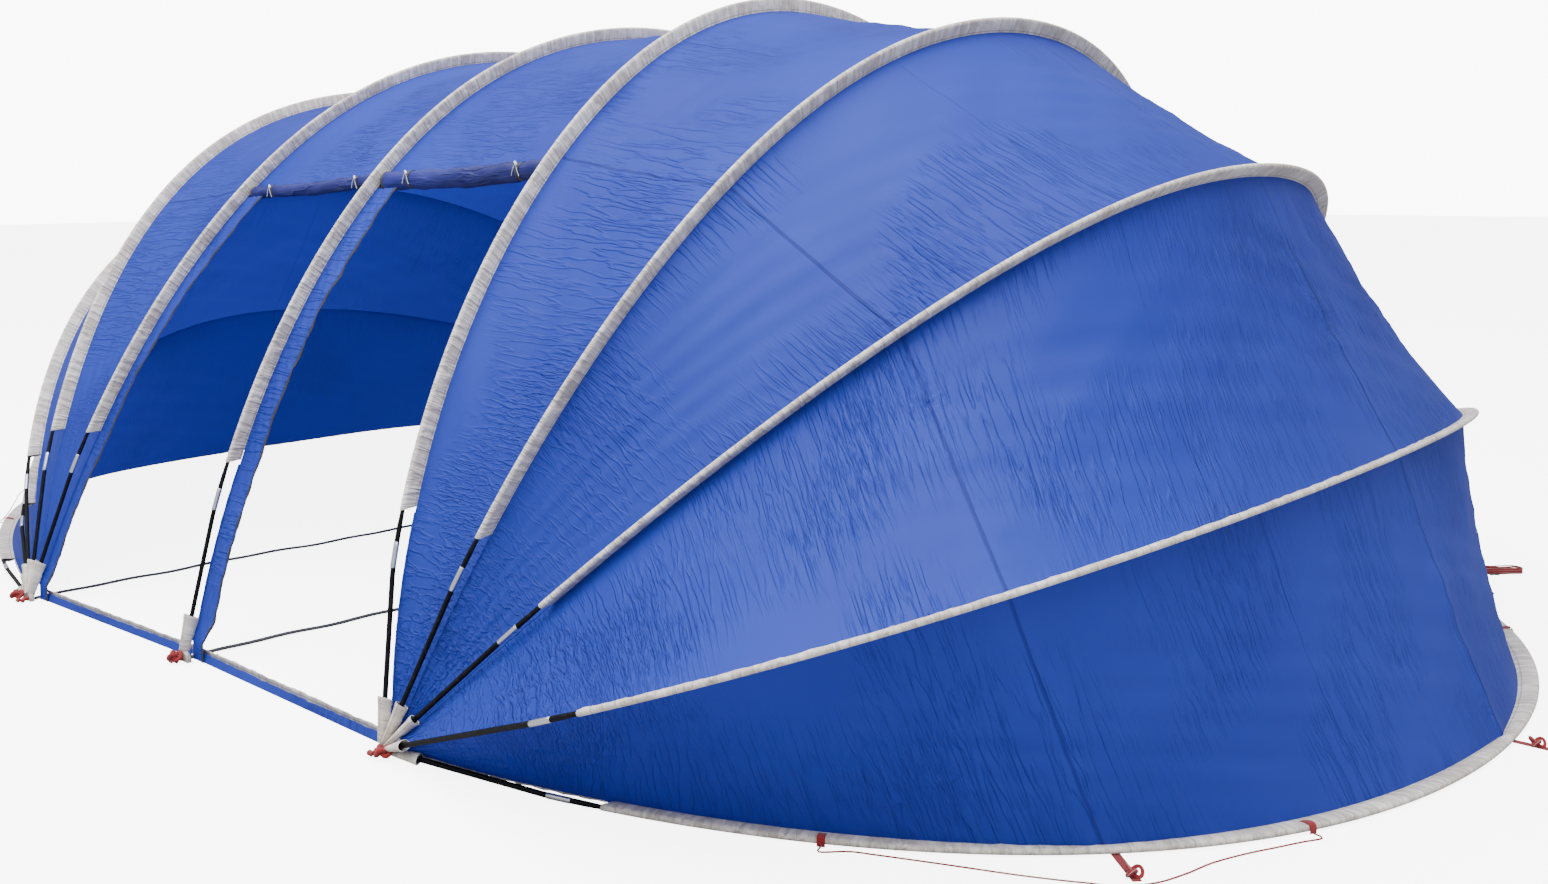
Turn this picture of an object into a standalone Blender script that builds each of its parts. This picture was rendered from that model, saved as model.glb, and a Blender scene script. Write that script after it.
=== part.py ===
"""Pool dome tent: two doored bays between two fan-shaped ends, carried by eleven bowed pole arches.

X runs along the length with the right end at +X, Y runs in depth with the doors at -Y, and Z is up.
The origin lies on the ground under the foot of the middle arch's centre line.
"""

import math

import bmesh
import bpy
import numpy as np

# Driving dimensions of the frame, in metres and degrees
BASE_HEIGHT = 0.0135
POLE_RADIUS = 0.0065
FERRULE_RADIUS = 0.0075
CLEARANCE = 0.0004
JOINT_GAP = 0.0003
CLOTH = 0.004
SEAM_DROP = 0.0003
SEAM_SIDE = 0.0024

MIDDLE_SPAN = 4.79
RIGHT_SPAN = 4.775
LEFT_SPAN = 4.935
RIGHT_FOOT_X = 1.246
LEFT_FOOT_X = -1.19

# Each arch: lean from the ground in degrees, rise, outward flare of the feet, fullness of the shoulders,
# and the angle along the arch at which the eave seam crosses it
RIGHT_ARCHES = {
    "1": (96.5, 2.50, -0.02, -0.02, 50.0),
    "2": (70.5, 2.45, -0.11, 0.05, 42.5),
    "3": (45.5, 2.46, -0.17, 0.08, 38.0),
    "4": (21.3, 2.35, 0.147, 0.041, 52.0),
    "base": (0.0, 2.49, -0.06, 0.04, 46.0),
}
LEFT_ARCHES = {
    "1": (96.5, 2.40, -0.14, 0.05, 41.0),
    "2": (71.0, 2.36, -0.12, 0.06, 41.0),
    "3": (47.0, 2.38, -0.10, 0.04, 42.5),
    "4": (22.0, 2.45, -0.12, 0.02, 45.0),
    "base": (0.0, 2.42, -0.12, 0.13, 45.0),
}
MIDDLE_ARCH = (88.0, 2.43, -0.09, 0.04, 43.0)

# Distances along an arch from its foot
CLOTH_START = 0.06
POLE_SEAT = 0.07
POCKET_TOP = 0.15
FERRULE_LOW = 0.54
FERRULE_HIGH = 0.62
SLEEVE_START = 0.72

# How much further up the ferrules and the sleeve start on two of the arches
FOOT_EXTRAS = {"right_4": 0.32, "right_base": 0.09}

# Widths between the pole's centre and the cloth seam
SLEEVE_WIDTH = 0.048
FOOT_WIDTH = 0.036
ROOT_WIDTH = 0.022
BASE_WIDTH_CORNER = 0.024
BASE_WIDTH_MIDDLE = 0.056
BASE_WIDTH_WAVES = 4
BASE_SEAM_HEIGHT = 0.0085
SLEEVE_EDGE = 0.002
SLEEVE_SHOULDER = (0.011, 0.0115)
SLEEVE_FRONT = (-0.0105, 0.0075)
PANEL_SAG = 0.015

# Stations along an arch: its sleeve, its eaves and its top
CELLS_BELOW_EAVE = 4
CELLS_PER_UPPER_GORE = 6
SLEEVE_FIRST = 4
EAVE = SLEEVE_FIRST + CELLS_BELOW_EAVE
TOP = EAVE + CELLS_PER_UPPER_GORE
BACK_EAVE = TOP + CELLS_PER_UPPER_GORE
SLEEVE_LAST = BACK_EAVE + CELLS_BELOW_EAVE
LAST = SLEEVE_LAST + 4

# Pockets at the feet, which fan out of one sewn root
POCKET_START = 0.020
POCKET_ROOT_RADIUS = 0.008
POCKET_MOUTH_RADIUS = 0.0185
POCKET_BORE_RADIUS = 0.0073
POCKET_SIDES = 10
ROOT_REACH = 0.045
ROOT_HALF_DEPTH = 0.012

# Doors
JAMB_WIDTHS = {"left": (0.055, 0.062, 0.076, 0.133), "right": (0.065, 0.103, 0.122, 0.122)}
JAMB_STATIONS = (0, 1, 5, EAVE)
ZIP_WIDTH = 0.010
ROLL_RADII = {"left": 0.030, "right": 0.042}
ROLL_SIDES = 12
ROLL_END_GAP = 0.012
TIE_THICKNESS = 0.002
TIE_WIDTH = 0.016
TIE_PLACES = (0.17, 0.83)

# Ground pieces
SILL_HEIGHT = 0.028
SILL_THICKNESS = 0.004
SILL_LEAN = 0.010
SILL_END_GAP = 0.020
FLAP_WIDTH = 0.075
FLAP_THICKNESS = 0.002
STRAP_WIDTH = 0.025
STRAP_THICKNESS = 0.002
STRAP_SLACKS = {"left": (0.18, 1), "middle": (0.16, 2), "right": (0.18, 1)}
STRAP_POINTS = 13
TAB_LENGTH = 0.10
TAB_THICKNESS = 0.004
PEG_STRAP_LENGTH = 0.14
PEG_STRAP_UNDER = 0.015
PEG_STRAP_THICKNESS = 0.003
LOOP_WIDTH = 0.022
LOOP_THICKNESS = 0.0015
LOOP_REACH = 0.036
LOOP_ANGLES = {"left": (26.0, 61.0, 122.0), "right": (29.0, 61.0, 122.0)}
CORNER_ANGLES = (46.5, 90.0, 135.0)

# Guy ropes
ROPE_DIAMETER = 0.005
ROPE_SIDES_RESOLUTION = 2
ROPE_STEP = 0.022
ROPE_LEAD = 0.03
ROPE_END_GAP = 0.001
ROPE_ROUTE_RIGHT = (
    (2.678, -1.950), (2.74, -1.918), (2.81, -1.884), (2.92, -1.832), (3.05, -1.772), (3.15, -1.720),
    (3.21, -1.685), (3.27, -1.650), (3.33, -1.575), (3.365, -1.480), (3.39, -1.380), (3.43, -1.280),
    (3.475, -1.190), (3.515, -1.110),
)
ROPE_ROUTE_LEFT = (
    (-2.76, -1.985), (-2.84, -1.935), (-2.95, -1.872), (-3.08, -1.803), (-3.20, -1.740), (-3.31, -1.684),
    (-3.40, -1.625), (-3.47, -1.565), (-3.50, -1.500), (-3.53, -1.400), (-3.56, -1.280), (-3.585, -1.150),
    (-3.603, -1.030),
)
ROPE_ROUTE_BACK = (
    (3.262, 1.680), (3.245, 1.720), (3.215, 1.770), (3.180, 1.820), (3.150, 1.870), (3.122, 1.910),
    (3.108, 1.935),
)
HANK_PLACE = (3.20, 2.03)
HANK_TURN = 43.0
HANK_LENGTH = 0.20
HANK_WIDTH = 0.060
HANK_HEIGHT = 0.036
SLIDER_SIZE = (0.040, 0.014, 0.008)

UP = np.array([0.0, 0.0, 1.0])
DEPTH = np.array([0.0, 1.0, 0.0])


def clear_scene():
    for obj in list(bpy.data.objects):
        bpy.data.objects.remove(obj, do_unlink=True)


def make_material(name, colour, roughness, metallic=0.0):
    material = bpy.data.materials.new(name)
    material.use_nodes = True
    shader = material.node_tree.nodes["Principled BSDF"]
    shader.inputs["Base Color"].default_value = (*colour, 1.0)
    shader.inputs["Roughness"].default_value = roughness
    shader.inputs["Metallic"].default_value = metallic
    return material


def unit(vector):
    return vector / np.linalg.norm(vector, axis=-1, keepdims=True)


class Arch:
    """One bowed arch of poles from its front foot to its back foot, in a plane that leans by an angle."""

    def __init__(self, name, foot_x, side, span, shape):
        lean, rise, flare, shoulder, eave = shape
        self.name, self.side = name, side
        self.eave = math.radians(eave)
        extra = FOOT_EXTRAS.get(name, 0.0)
        self.ferrule = FERRULE_LOW + extra, FERRULE_HIGH + extra
        self.sleeve_start = SLEEVE_START + extra
        self.foot_x, self.span = foot_x, span
        self.rise, self.flare, self.shoulder = rise, flare, shoulder
        self.is_base = lean == 0.0
        angle = math.radians(lean)
        self.rise_direction = np.array([side * math.cos(angle), 0.0, math.sin(angle)])
        self.across = np.cross(self.rise_direction, DEPTH)
        self.fine_angles = np.linspace(0.0, math.pi, 1441)
        steps = np.linalg.norm(np.diff(self.curve(self.fine_angles), axis=0), axis=1)
        self.lengths = np.concatenate([[0.0], np.cumsum(steps)])
        self.angles = self.station_angles()
        self.points = self.curve(self.angles)
        self.widths = self.seam_widths()
        self.inward = self.inward_at(self.angles)
        if self.is_base:
            drop = (BASE_HEIGHT - BASE_SEAM_HEIGHT) / self.widths
            self.inward = unit(self.inward - drop[:, None] * UP)
        self.sideways = np.cross(self.tangent_at(self.angles), self.inward)
        self.seam = self.points + self.inward * self.widths[:, None]

    def curve(self, angle):
        out = self.rise * (np.sin(angle) + self.shoulder * (np.sin(3 * angle) + np.sin(angle)))
        along = -self.span / 2 * (np.cos(angle) + self.flare * np.sin(2 * angle))
        start = np.array([self.foot_x, 0.0, BASE_HEIGHT])
        return start + out[..., None] * self.rise_direction + along[..., None] * DEPTH

    def tangent_at(self, angle):
        step = 1e-4
        return unit(self.curve(angle + step) - self.curve(angle - step))

    def inward_at(self, angle):
        return np.cross(self.across, self.tangent_at(angle))

    def angle_at_length(self, length):
        return float(np.interp(length, self.lengths, self.fine_angles))

    def at_length(self, length, back=False):
        """The point this far along the arch from its front foot or its back foot."""
        if back:
            length = self.lengths[-1] - length
        return self.curve(np.array(self.angle_at_length(length)))

    def station_angles(self):
        reaches = (CLOTH_START, POCKET_TOP, *self.ferrule, self.sleeve_start)
        front = [self.angle_at_length(reach) for reach in reaches]
        back = [self.angle_at_length(self.lengths[-1] - reach) for reach in reversed(reaches)]
        back_eave = math.pi - self.eave
        rising = np.linspace(front[-1], self.eave, CELLS_BELOW_EAVE + 1)[1:]
        crown = np.linspace(self.eave, back_eave, 2 * CELLS_PER_UPPER_GORE + 1)[1:]
        falling = np.linspace(back_eave, back[0], CELLS_BELOW_EAVE + 1)[1:-1]
        return np.array([*front, *rising, *crown, *falling, *back])

    def seam_widths(self):
        """Distance from the pole to the cloth seam: a full sleeve that runs out towards the feet."""
        run = np.interp(self.angles, self.fine_angles, self.lengths)
        run = np.minimum(run, self.lengths[-1] - run)
        full = np.full(len(run), SLEEVE_WIDTH)
        if self.is_base:
            wave = np.sqrt(np.abs(np.sin(self.angles * BASE_WIDTH_WAVES)))
            full = BASE_WIDTH_CORNER + (BASE_WIDTH_MIDDLE - BASE_WIDTH_CORNER) * wave
        reaches = (CLOTH_START, POCKET_TOP, self.sleeve_start)
        tapered = np.interp(run, reaches, (ROOT_WIDTH, FOOT_WIDTH, SLEEVE_WIDTH))
        return np.where(run < self.sleeve_start, tapered, full)

    def section(self, station, outline):
        """Outline points given as (inward, sideways) distances from the pole, at one station."""
        outline = np.asarray(outline)
        inward, sideways = self.inward[station], self.sideways[station]
        return self.points[station] + outline[:, :1] * inward + outline[:, 1:] * sideways

    def seam_edge(self, station, towards):
        """Outer and inner corner of a cloth edge beside the seam, on the side of the point towards."""
        seam, inward = self.seam[station], self.inward[station]
        beside = self.sideways[station]
        if np.dot(towards - seam, beside) < 0:
            beside = -beside
        outer = seam + inward * SEAM_DROP + beside * SEAM_SIDE
        return outer, outer + inward * CLOTH

    def foot(self, back):
        return np.array([self.foot_x, (1 if back else -1) * self.span / 2, 0.0])

    def foot_section(self, back):
        """Seat, direction and upper end of the straight lowest section of the pole."""
        seat, joint = self.at_length(POLE_SEAT, back), self.at_length(self.ferrule[0], back)
        return seat, unit(joint - seat), joint


def ring_mesh(rings, closed=False):
    """Skin over rings of points of one size, with a cap on each end, or as a closed loop of rings."""
    rings = [np.asarray(ring) for ring in rings]
    size, count = len(rings[0]), len(rings)
    faces = []
    for ring in range(count if closed else count - 1):
        this, after = ring * size, (ring + 1) % count * size
        for k in range(size):
            j = (k + 1) % size
            faces.append((this + k, this + j, after + j, after + k))
    if not closed:
        faces.append(tuple(range(size)))
        faces.append(tuple(range((count - 1) * size, count * size)))
    return np.concatenate(rings), faces


def sheet_mesh(outer, inner):
    """A sheet with two faces, each a grid of rows and columns of points, and walls round its edge.

    Both faces split each cell along the same diagonal, so the sheet keeps its thickness where a cell twists.
    """
    rows, columns = outer.shape[:2]
    total = rows * columns
    index = np.arange(total).reshape(rows, columns)
    faces = []
    for r in range(rows - 1):
        for c in range(columns - 1):
            a, b, d, e = index[r, c], index[r, c + 1], index[r + 1, c + 1], index[r + 1, c]
            for corners in ((a, b, d), (a, d, e)):
                faces.append(corners)
                faces.append(tuple(corner + total for corner in reversed(corners)))
    border = [*index[0, :], *index[1:, -1], *index[-1, -2::-1], *index[-2:0:-1, 0]]
    for a, b in zip(border, border[1:] + border[:1]):
        faces.append((b, a, a + total, b + total))
    return np.concatenate([outer.reshape(-1, 3), inner.reshape(-1, 3)]), faces


def make_object(name, shape, material):
    """A closed mesh object from points and faces, with its faces turned outwards."""
    points, faces = shape
    mesh = bmesh.new()
    corners = [mesh.verts.new(point) for point in points]
    for face in faces:
        mesh.faces.new([corners[i] for i in face])
    bmesh.ops.recalc_face_normals(mesh, faces=mesh.faces[:])
    data = bpy.data.meshes.new(name)
    mesh.to_mesh(data)
    mesh.free()
    data.materials.append(material)
    data.shade_smooth()
    data.set_sharp_from_angle(angle=math.radians(40))
    obj = bpy.data.objects.new(name, data)
    bpy.context.collection.objects.link(obj)
    return obj


def combine(obj, operation, shapes, material):
    """Joins helper shapes to an object, or cuts them from it."""
    for number, shape in enumerate(shapes):
        helper = make_object(f"{obj.name}_{operation.lower()}_{number}", shape, material)
        helper.hide_render = True
        helper.display_type = "WIRE"
        modifier = obj.modifiers.new(helper.name, "BOOLEAN")
        modifier.operation = operation
        modifier.object = helper
    return obj


def regular_outline(radius, sides):
    turn = 2 * math.pi / sides
    return np.array([(radius * math.cos(k * turn), radius * math.sin(k * turn)) for k in range(sides)])


def ring_round(centre, axis, radius, sides, first=None):
    """A ring of points round a centre, square to an axis, the first of them in a given direction."""
    axis = unit(axis)
    if first is None:
        first = unit(np.cross(axis, UP if abs(axis[2]) < 0.9 else DEPTH))
    second = np.cross(axis, first)
    outline = regular_outline(radius, sides)
    return centre + outline[:, :1] * first + outline[:, 1:] * second


def pole_shape(arch):
    """The bowed pole from pocket to pocket, with a raised ferrule where its end sections join on."""
    thin, thick = regular_outline(POLE_RADIUS, 6), regular_outline(FERRULE_RADIUS, 6)
    front_seat, back_seat = arch.at_length(POLE_SEAT), arch.at_length(POLE_SEAT, back=True)
    ferrules = (SLEEVE_FIRST - 2, SLEEVE_FIRST - 1, SLEEVE_LAST + 1, SLEEVE_LAST + 2)
    rings = []
    for i in range(ferrules[0], ferrules[-1] + 1):
        ring = arch.section(i, thin)
        if i in ferrules:
            raised = arch.section(i, thick)
            rings += [ring, raised] if i in ferrules[::2] else [raised, ring]
        else:
            rings.append(ring)
    front = rings[0] + (front_seat - arch.points[ferrules[0]])
    back = rings[-1] + (back_seat - arch.points[ferrules[-1]])
    return ring_mesh([front, *rings, back])


def sleeve_outline(width):
    """Cloth folded over the pole and sewn flat along the seam, as (inward, sideways) points."""
    (shoulder_in, shoulder_side), (front_in, front_side) = SLEEVE_SHOULDER, SLEEVE_FRONT
    return np.array([
        (shoulder_in, -shoulder_side), (width, -SLEEVE_EDGE), (width, SLEEVE_EDGE),
        (shoulder_in, shoulder_side), (front_in, front_side), (front_in, -front_side),
    ])


def sleeve_shape(arch):
    """One length of folded cloth along the arch, open at both ends where the pole runs through."""
    bore = np.roll(regular_outline(POLE_RADIUS + CLEARANCE, 6), 1, axis=0)
    stations = range(SLEEVE_FIRST, SLEEVE_LAST + 1)
    outer = [arch.section(i, sleeve_outline(arch.widths[i])) for i in stations]
    inner = [arch.section(i, bore) for i in reversed(stations)]
    return ring_mesh(outer + inner, closed=True)


def cloth_between(near, far, stations):
    """Cloth from one arch's seam to another's, over a run of stations, with a slight hollow between."""
    outer, inner = [], []
    for i in stations:
        near_outer, near_inner = near.seam_edge(i, far.seam[i])
        far_outer, far_inner = far.seam_edge(i, near.seam[i])
        inward = unit(near.inward[i] + far.inward[i])
        width = np.linalg.norm(far_outer - near_outer)
        middle = (near_outer + far_outer) / 2 + inward * PANEL_SAG * width
        outer.append((near_outer, middle, far_outer))
        inner.append((near_inner, middle + inward * CLOTH, far_inner))
    return np.array(outer), np.array(inner)


def down_to_ground(outer, inner):
    """A row that carries the sheet's last row straight down to just above the ground."""
    step = (CLOTH - outer[-1, :, 2])[:, None] * UP
    return np.concatenate([outer, [outer[-1] + step]]), np.concatenate([inner, [inner[-1] + step]])


def fan_panel_shape(near, far):
    """The four sewn gores of cloth between two neighbouring arches of an end."""
    return sheet_mesh(*cloth_between(near, far, range(LAST + 1)))


def bay_panel_shape(near, far):
    """Roof and closed back wall of a bay, from the eave seam over the doorway to the ground behind."""
    outer, inner = cloth_between(near, far, range(EAVE, LAST + 1))
    return sheet_mesh(*down_to_ground(outer, inner))


def bay_direction(near, far, station):
    return unit(far.seam[station] - near.seam[station])


def roll_axis(near, far, radius):
    """Ends of a rolled door's centre line under the eave seam, and the direction in which it hangs."""
    near_edge = np.mean(near.seam_edge(EAVE, far.seam[EAVE]), axis=0)
    far_edge = np.mean(far.seam_edge(EAVE, near.seam[EAVE]), axis=0)
    along = unit(far_edge - near_edge)
    fall = unit(sum(arch.seam[EAVE - 1] - arch.seam[EAVE] for arch in (near, far)))
    square = unit(fall - along * np.dot(fall, along))
    inward = unit(near.inward[EAVE] + far.inward[EAVE])
    sag = PANEL_SAG * np.linalg.norm(far_edge - near_edge)
    drop = square * (radius + TIE_THICKNESS + CLEARANCE) + inward * sag / 2
    return near_edge + along * ROLL_END_GAP + drop, far_edge - along * ROLL_END_GAP + drop, square


def below_roll(outer, inner, square, radius):
    """Lowers the first row of a sheet to just below the rolled door, which hangs from the eave seam."""
    step = unit(outer[1] - outer[0])
    depth = 2 * (radius + TIE_THICKNESS + CLEARANCE) + JOINT_GAP
    drop = step * (depth / (step @ square))[:, None]
    outer[0] += drop
    inner[0] += drop
    return outer, inner


def jamb_shapes(near, far, widths, radius):
    """The strip of cloth beside a doorway, from below the rolled door to the ground, and its zip."""
    square = roll_axis(near, far, radius)[2]
    strip, tape = [], []
    for i in range(EAVE, -1, -1):
        width = np.interp(i, JAMB_STATIONS, widths)
        direction = bay_direction(near, far, i)
        corners = near.seam_edge(i, far.seam[i])
        strip.append([(corner, corner + direction * width) for corner in corners])
        starts = [corner + direction * (width + CLEARANCE) for corner in corners]
        tape.append([(start, start + direction * ZIP_WIDTH) for start in starts])
    shapes = []
    for rows in (strip, tape):
        outer, inner = np.array(rows).transpose(1, 0, 2, 3)
        shapes.append(sheet_mesh(*below_roll(*down_to_ground(outer, inner), square, radius)))
    return shapes


def roll_shape(near, far, radius):
    """The door cloth rolled up under the eave seam, with the two raised ties that hold it."""
    start, end, square = roll_axis(near, far, radius)
    along = unit(end - start)
    profile = [(start, radius)]
    for share in TIE_PLACES:
        centre = start + (end - start) * share
        sides = (centre - along * TIE_WIDTH / 2, centre + along * TIE_WIDTH / 2)
        tied = radius + TIE_THICKNESS
        profile += [(sides[0], radius), (sides[0], tied), (sides[1], tied), (sides[1], radius)]
    profile.append((end, radius))
    return ring_mesh([ring_round(place, along, size, ROLL_SIDES, square) for place, size in profile])


def pocket_shapes(arch, back):
    """A tapered cloth cup round the lower end of a pole, and the bore that the pole stands in."""
    seat, direction, _ = arch.foot_section(back)
    bottom = seat - direction * (POLE_SEAT - POCKET_START)
    mouth = seat + direction * (POCKET_TOP - POLE_SEAT)
    ends = ((bottom, POCKET_ROOT_RADIUS), (mouth, POCKET_MOUTH_RADIUS))
    cup = [ring_round(place, direction, radius, POCKET_SIDES) for place, radius in ends]
    for ring in cup:
        ring[:, 2] = np.maximum(ring[:, 2], 2 * CLEARANCE)
    bore_ends = (seat - direction * 3 * CLEARANCE, mouth + direction * POCKET_MOUTH_RADIUS)
    bore = [ring_round(place, direction, POCKET_BORE_RADIUS, POCKET_SIDES) for place in bore_ends]
    return ring_mesh(cup), ring_mesh(bore)


def root_shape(arch, back, fan):
    """The sewn root from which the pockets of a foot rise, flat on the ground."""
    outline = [(-ROOT_REACH / 2, 0.0), (ROOT_REACH, 0.0)]
    outline += [(ROOT_REACH * math.cos(math.radians(a)), BASE_HEIGHT + ROOT_REACH * math.sin(math.radians(a)))
                for a in fan]
    outline.append((-ROOT_REACH / 2, BASE_HEIGHT))
    foot = arch.foot(back)
    faces = []
    for depth in (-ROOT_HALF_DEPTH, ROOT_HALF_DEPTH):
        faces.append([foot + (arch.side * x, depth, z) for x, z in outline])
    return ring_mesh(faces)


def strip_shape(line, width, low, high):
    """A strip lying flat along a line of points, from one height to another."""
    line = np.asarray(line, float)
    beside = np.cross(unit(np.gradient(line, axis=0)), UP) * width / 2
    rings = []
    for place, offset in zip(line, beside):
        rings.append([place - offset + UP * low, place + offset + UP * low,
                      place + offset + UP * high, place - offset + UP * high])
    return ring_mesh(rings)


def tab_shape(arch, back):
    """A webbing tab on the ground that a ground peg goes through."""
    outward = DEPTH if back else -DEPTH
    foot = arch.foot(back)
    line = [foot, foot + outward * (ROOT_HALF_DEPTH + TAB_LENGTH)]
    return strip_shape(line, STRAP_WIDTH, CLEARANCE, TAB_THICKNESS)


def add_foot(name, arches, back, fan):
    """All pockets of one foot, sewn to their root, with the peg tab, and bored for the poles."""
    pockets = [pocket_shapes(arch, back) for arch in arches]
    foot = make_object(name, root_shape(arches[0], back, fan), GREY)
    combine(foot, "UNION", [cup for cup, _ in pockets] + [tab_shape(arches[0], back)], GREY)
    combine(foot, "DIFFERENCE", [bore for _, bore in pockets], GREY)


def sill_line(near, far):
    """Ends of a sill on the ground, just behind the cloth edges of its doorway, and its inward direction."""
    edges = near.seam_edge(0, far.seam[0])[1], far.seam_edge(0, near.seam[0])[1]
    start, end = (edge * (1.0, 1.0, 0.0) for edge in edges)
    direction = unit(end - start)
    inner = np.array([-direction[1], direction[0], 0.0])
    shift = inner * (2 * JOINT_GAP - SILL_LEAN * CLOTH / SILL_HEIGHT)
    return start + direction * SILL_END_GAP + shift, end - direction * SILL_END_GAP + shift, inner


def sill_shape(near, far):
    """The low strip that leans inwards across a doorway."""
    start, end, inner = sill_line(near, far)
    lean, thick = inner * SILL_LEAN, inner * SILL_THICKNESS
    rings = []
    for place in (start, end):
        rings.append([place, place + thick, place + thick + lean + UP * SILL_HEIGHT,
                      place + lean + UP * SILL_HEIGHT])
    return ring_mesh(rings)


def flap_shape(near, far):
    """The pale flap that lies on the ground behind a sill."""
    start, end, inner = sill_line(near, far)
    lean_at_flap = SILL_LEAN * FLAP_THICKNESS / SILL_HEIGHT
    middle = inner * (SILL_THICKNESS + lean_at_flap + JOINT_GAP + FLAP_WIDTH / 2)
    return strip_shape([start + middle, end + middle], FLAP_WIDTH, 0.0, FLAP_THICKNESS)


def ground_strap_shape(arch, slack, bends):
    """Webbing that ties the front foot of an upright arch to its back foot, slack on the ground."""
    inset = DEPTH * (ROOT_HALF_DEPTH + 2 * CLEARANCE)
    front, back = arch.foot(False) + inset, arch.foot(True) - inset
    line = []
    for share in np.linspace(0.0, 1.0, STRAP_POINTS):
        aside = slack * math.sin(math.pi * share) * math.sin(math.pi * bends * share)
        line.append(front + (back - front) * share + np.array([aside, 0.0, 0.0]))
    return strip_shape(line, STRAP_WIDTH, 0.0, STRAP_THICKNESS)


def base_place(arch, angle):
    """A point on the ground under the base arch, with its outward direction."""
    angle = np.array(math.radians(angle))
    place = arch.curve(angle)
    place[2] = 0.0
    return place, -arch.inward_at(angle)


def peg_strap_shape(arch, angle):
    """Webbing from under a corner of the base sleeve out to a ground peg."""
    place, outward = base_place(arch, angle)
    line = [place - outward * PEG_STRAP_UNDER, place + outward * PEG_STRAP_LENGTH]
    return strip_shape(line, STRAP_WIDTH, 0.0, PEG_STRAP_THICKNESS)


def loop_shape(arch, angle):
    """A webbing loop over the base sleeve, which a guy rope is tied to."""
    place, outward = base_place(arch, angle)
    along = np.cross(UP, outward)
    (shoulder_in, shoulder_side), (front_in, front_side) = SLEEVE_SHOULDER, SLEEVE_FRONT
    sunk = LOOP_THICKNESS * 2 / 3
    inner = [(-front_in - sunk, 2 * CLEARANCE), (-front_in - sunk, BASE_HEIGHT + front_side - sunk),
             (-shoulder_in, BASE_HEIGHT + shoulder_side - sunk - CLEARANCE),
             (-LOOP_REACH, BASE_HEIGHT + shoulder_side / 3)]
    outer = [(-front_in + LOOP_THICKNESS, 2 * CLEARANCE),
             (-front_in + LOOP_THICKNESS, BASE_HEIGHT + front_side + LOOP_THICKNESS),
             (-shoulder_in, BASE_HEIGHT + shoulder_side + LOOP_THICKNESS),
             (-LOOP_REACH, BASE_HEIGHT + shoulder_side)]
    rings = []
    for half in (-LOOP_WIDTH / 2, LOOP_WIDTH / 2):
        rings.append([place + outward * n + UP * z + along * half for n, z in inner + outer[::-1]])
    return ring_mesh(rings)


def smooth_route(route, height):
    """Points at even steps along a smooth curve through the route's own points."""
    route = np.asarray(route, float)
    padded = np.concatenate([[2 * route[0] - route[1]], route, [2 * route[-1] - route[-2]]])
    fine = []
    for a, b, c, d in zip(padded, padded[1:], padded[2:], padded[3:]):
        for s in np.linspace(0, 1, 12, endpoint=False):
            bend = 2 * a - 5 * b + 4 * c - d
            fine.append(0.5 * (2 * b + (c - a) * s + bend * s ** 2 + (3 * b - a - 3 * c + d) * s ** 3))
    fine = np.array([*fine, route[-1]])
    run = np.concatenate([[0], np.cumsum(np.linalg.norm(np.diff(fine, axis=0), axis=1))])
    even = np.linspace(0, run[-1], round(run[-1] / ROPE_STEP))
    return [(np.interp(e, run, fine[:, 0]), np.interp(e, run, fine[:, 1]), height) for e in even]


def loop_end(arch, angle):
    """Where a guy rope meets a loop of the base sleeve, and the way it leads off."""
    place, outward = base_place(arch, angle)
    return place + outward * (LOOP_THICKNESS - SLEEVE_FRONT[0] + ROPE_END_GAP), outward


def peg_end(arch, angle):
    place, outward = base_place(arch, angle)
    return place + outward * (PEG_STRAP_LENGTH + ROPE_END_GAP), outward


def hank_end():
    centre, along, _ = hank_frame()
    return centre - along * (HANK_LENGTH / 2 + ROPE_END_GAP), -along


def add_rope(name, start, route, finish):
    """A guy rope that lies on the ground, straight out of each end for a short lead."""
    leads = [[place[:2], (place + direction * ROPE_LEAD)[:2]] for place, direction in (start, finish)]
    points = smooth_route([*leads[0], *route, *leads[1][::-1]], ROPE_DIAMETER / 2)
    curve = bpy.data.curves.new(name, "CURVE")
    curve.dimensions = "3D"
    curve.bevel_depth = ROPE_DIAMETER / 2
    curve.bevel_resolution = ROPE_SIDES_RESOLUTION
    curve.use_fill_caps = True
    spline = curve.splines.new("POLY")
    spline.points.add(len(points) - 1)
    for point, place in zip(spline.points, points):
        point.co = (*place, 1.0)
    curve.materials.append(ROPE)
    bpy.context.collection.objects.link(bpy.data.objects.new(name, curve))


def hank_frame():
    turn = math.radians(HANK_TURN)
    along = np.array([math.cos(turn), math.sin(turn), 0.0])
    return np.array([*HANK_PLACE, 0.0]), along, np.cross(UP, along)


def hank_shape():
    """The bundled spare guy rope: a long outline with round ends."""
    centre, along, beside = hank_frame()
    radius = HANK_WIDTH / 2
    straight = HANK_LENGTH / 2 - radius
    outline = []
    for sign, first in ((1, -90), (-1, 90)):
        for step in range(7):
            angle = math.radians(first + 30 * step)
            outline.append(centre + along * (sign * straight + radius * math.cos(angle))
                           + beside * radius * math.sin(angle))
    return ring_mesh([outline, [point + UP * HANK_HEIGHT for point in outline]])


def slider_shape():
    centre, along, beside = hank_frame()
    length, width, height = SLIDER_SIZE
    place = centre - beside * (HANK_WIDTH / 2 + JOINT_GAP + width / 2) - along * length
    return strip_shape([place - along * length / 2, place + along * length / 2], width, 0.0, height)


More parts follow.
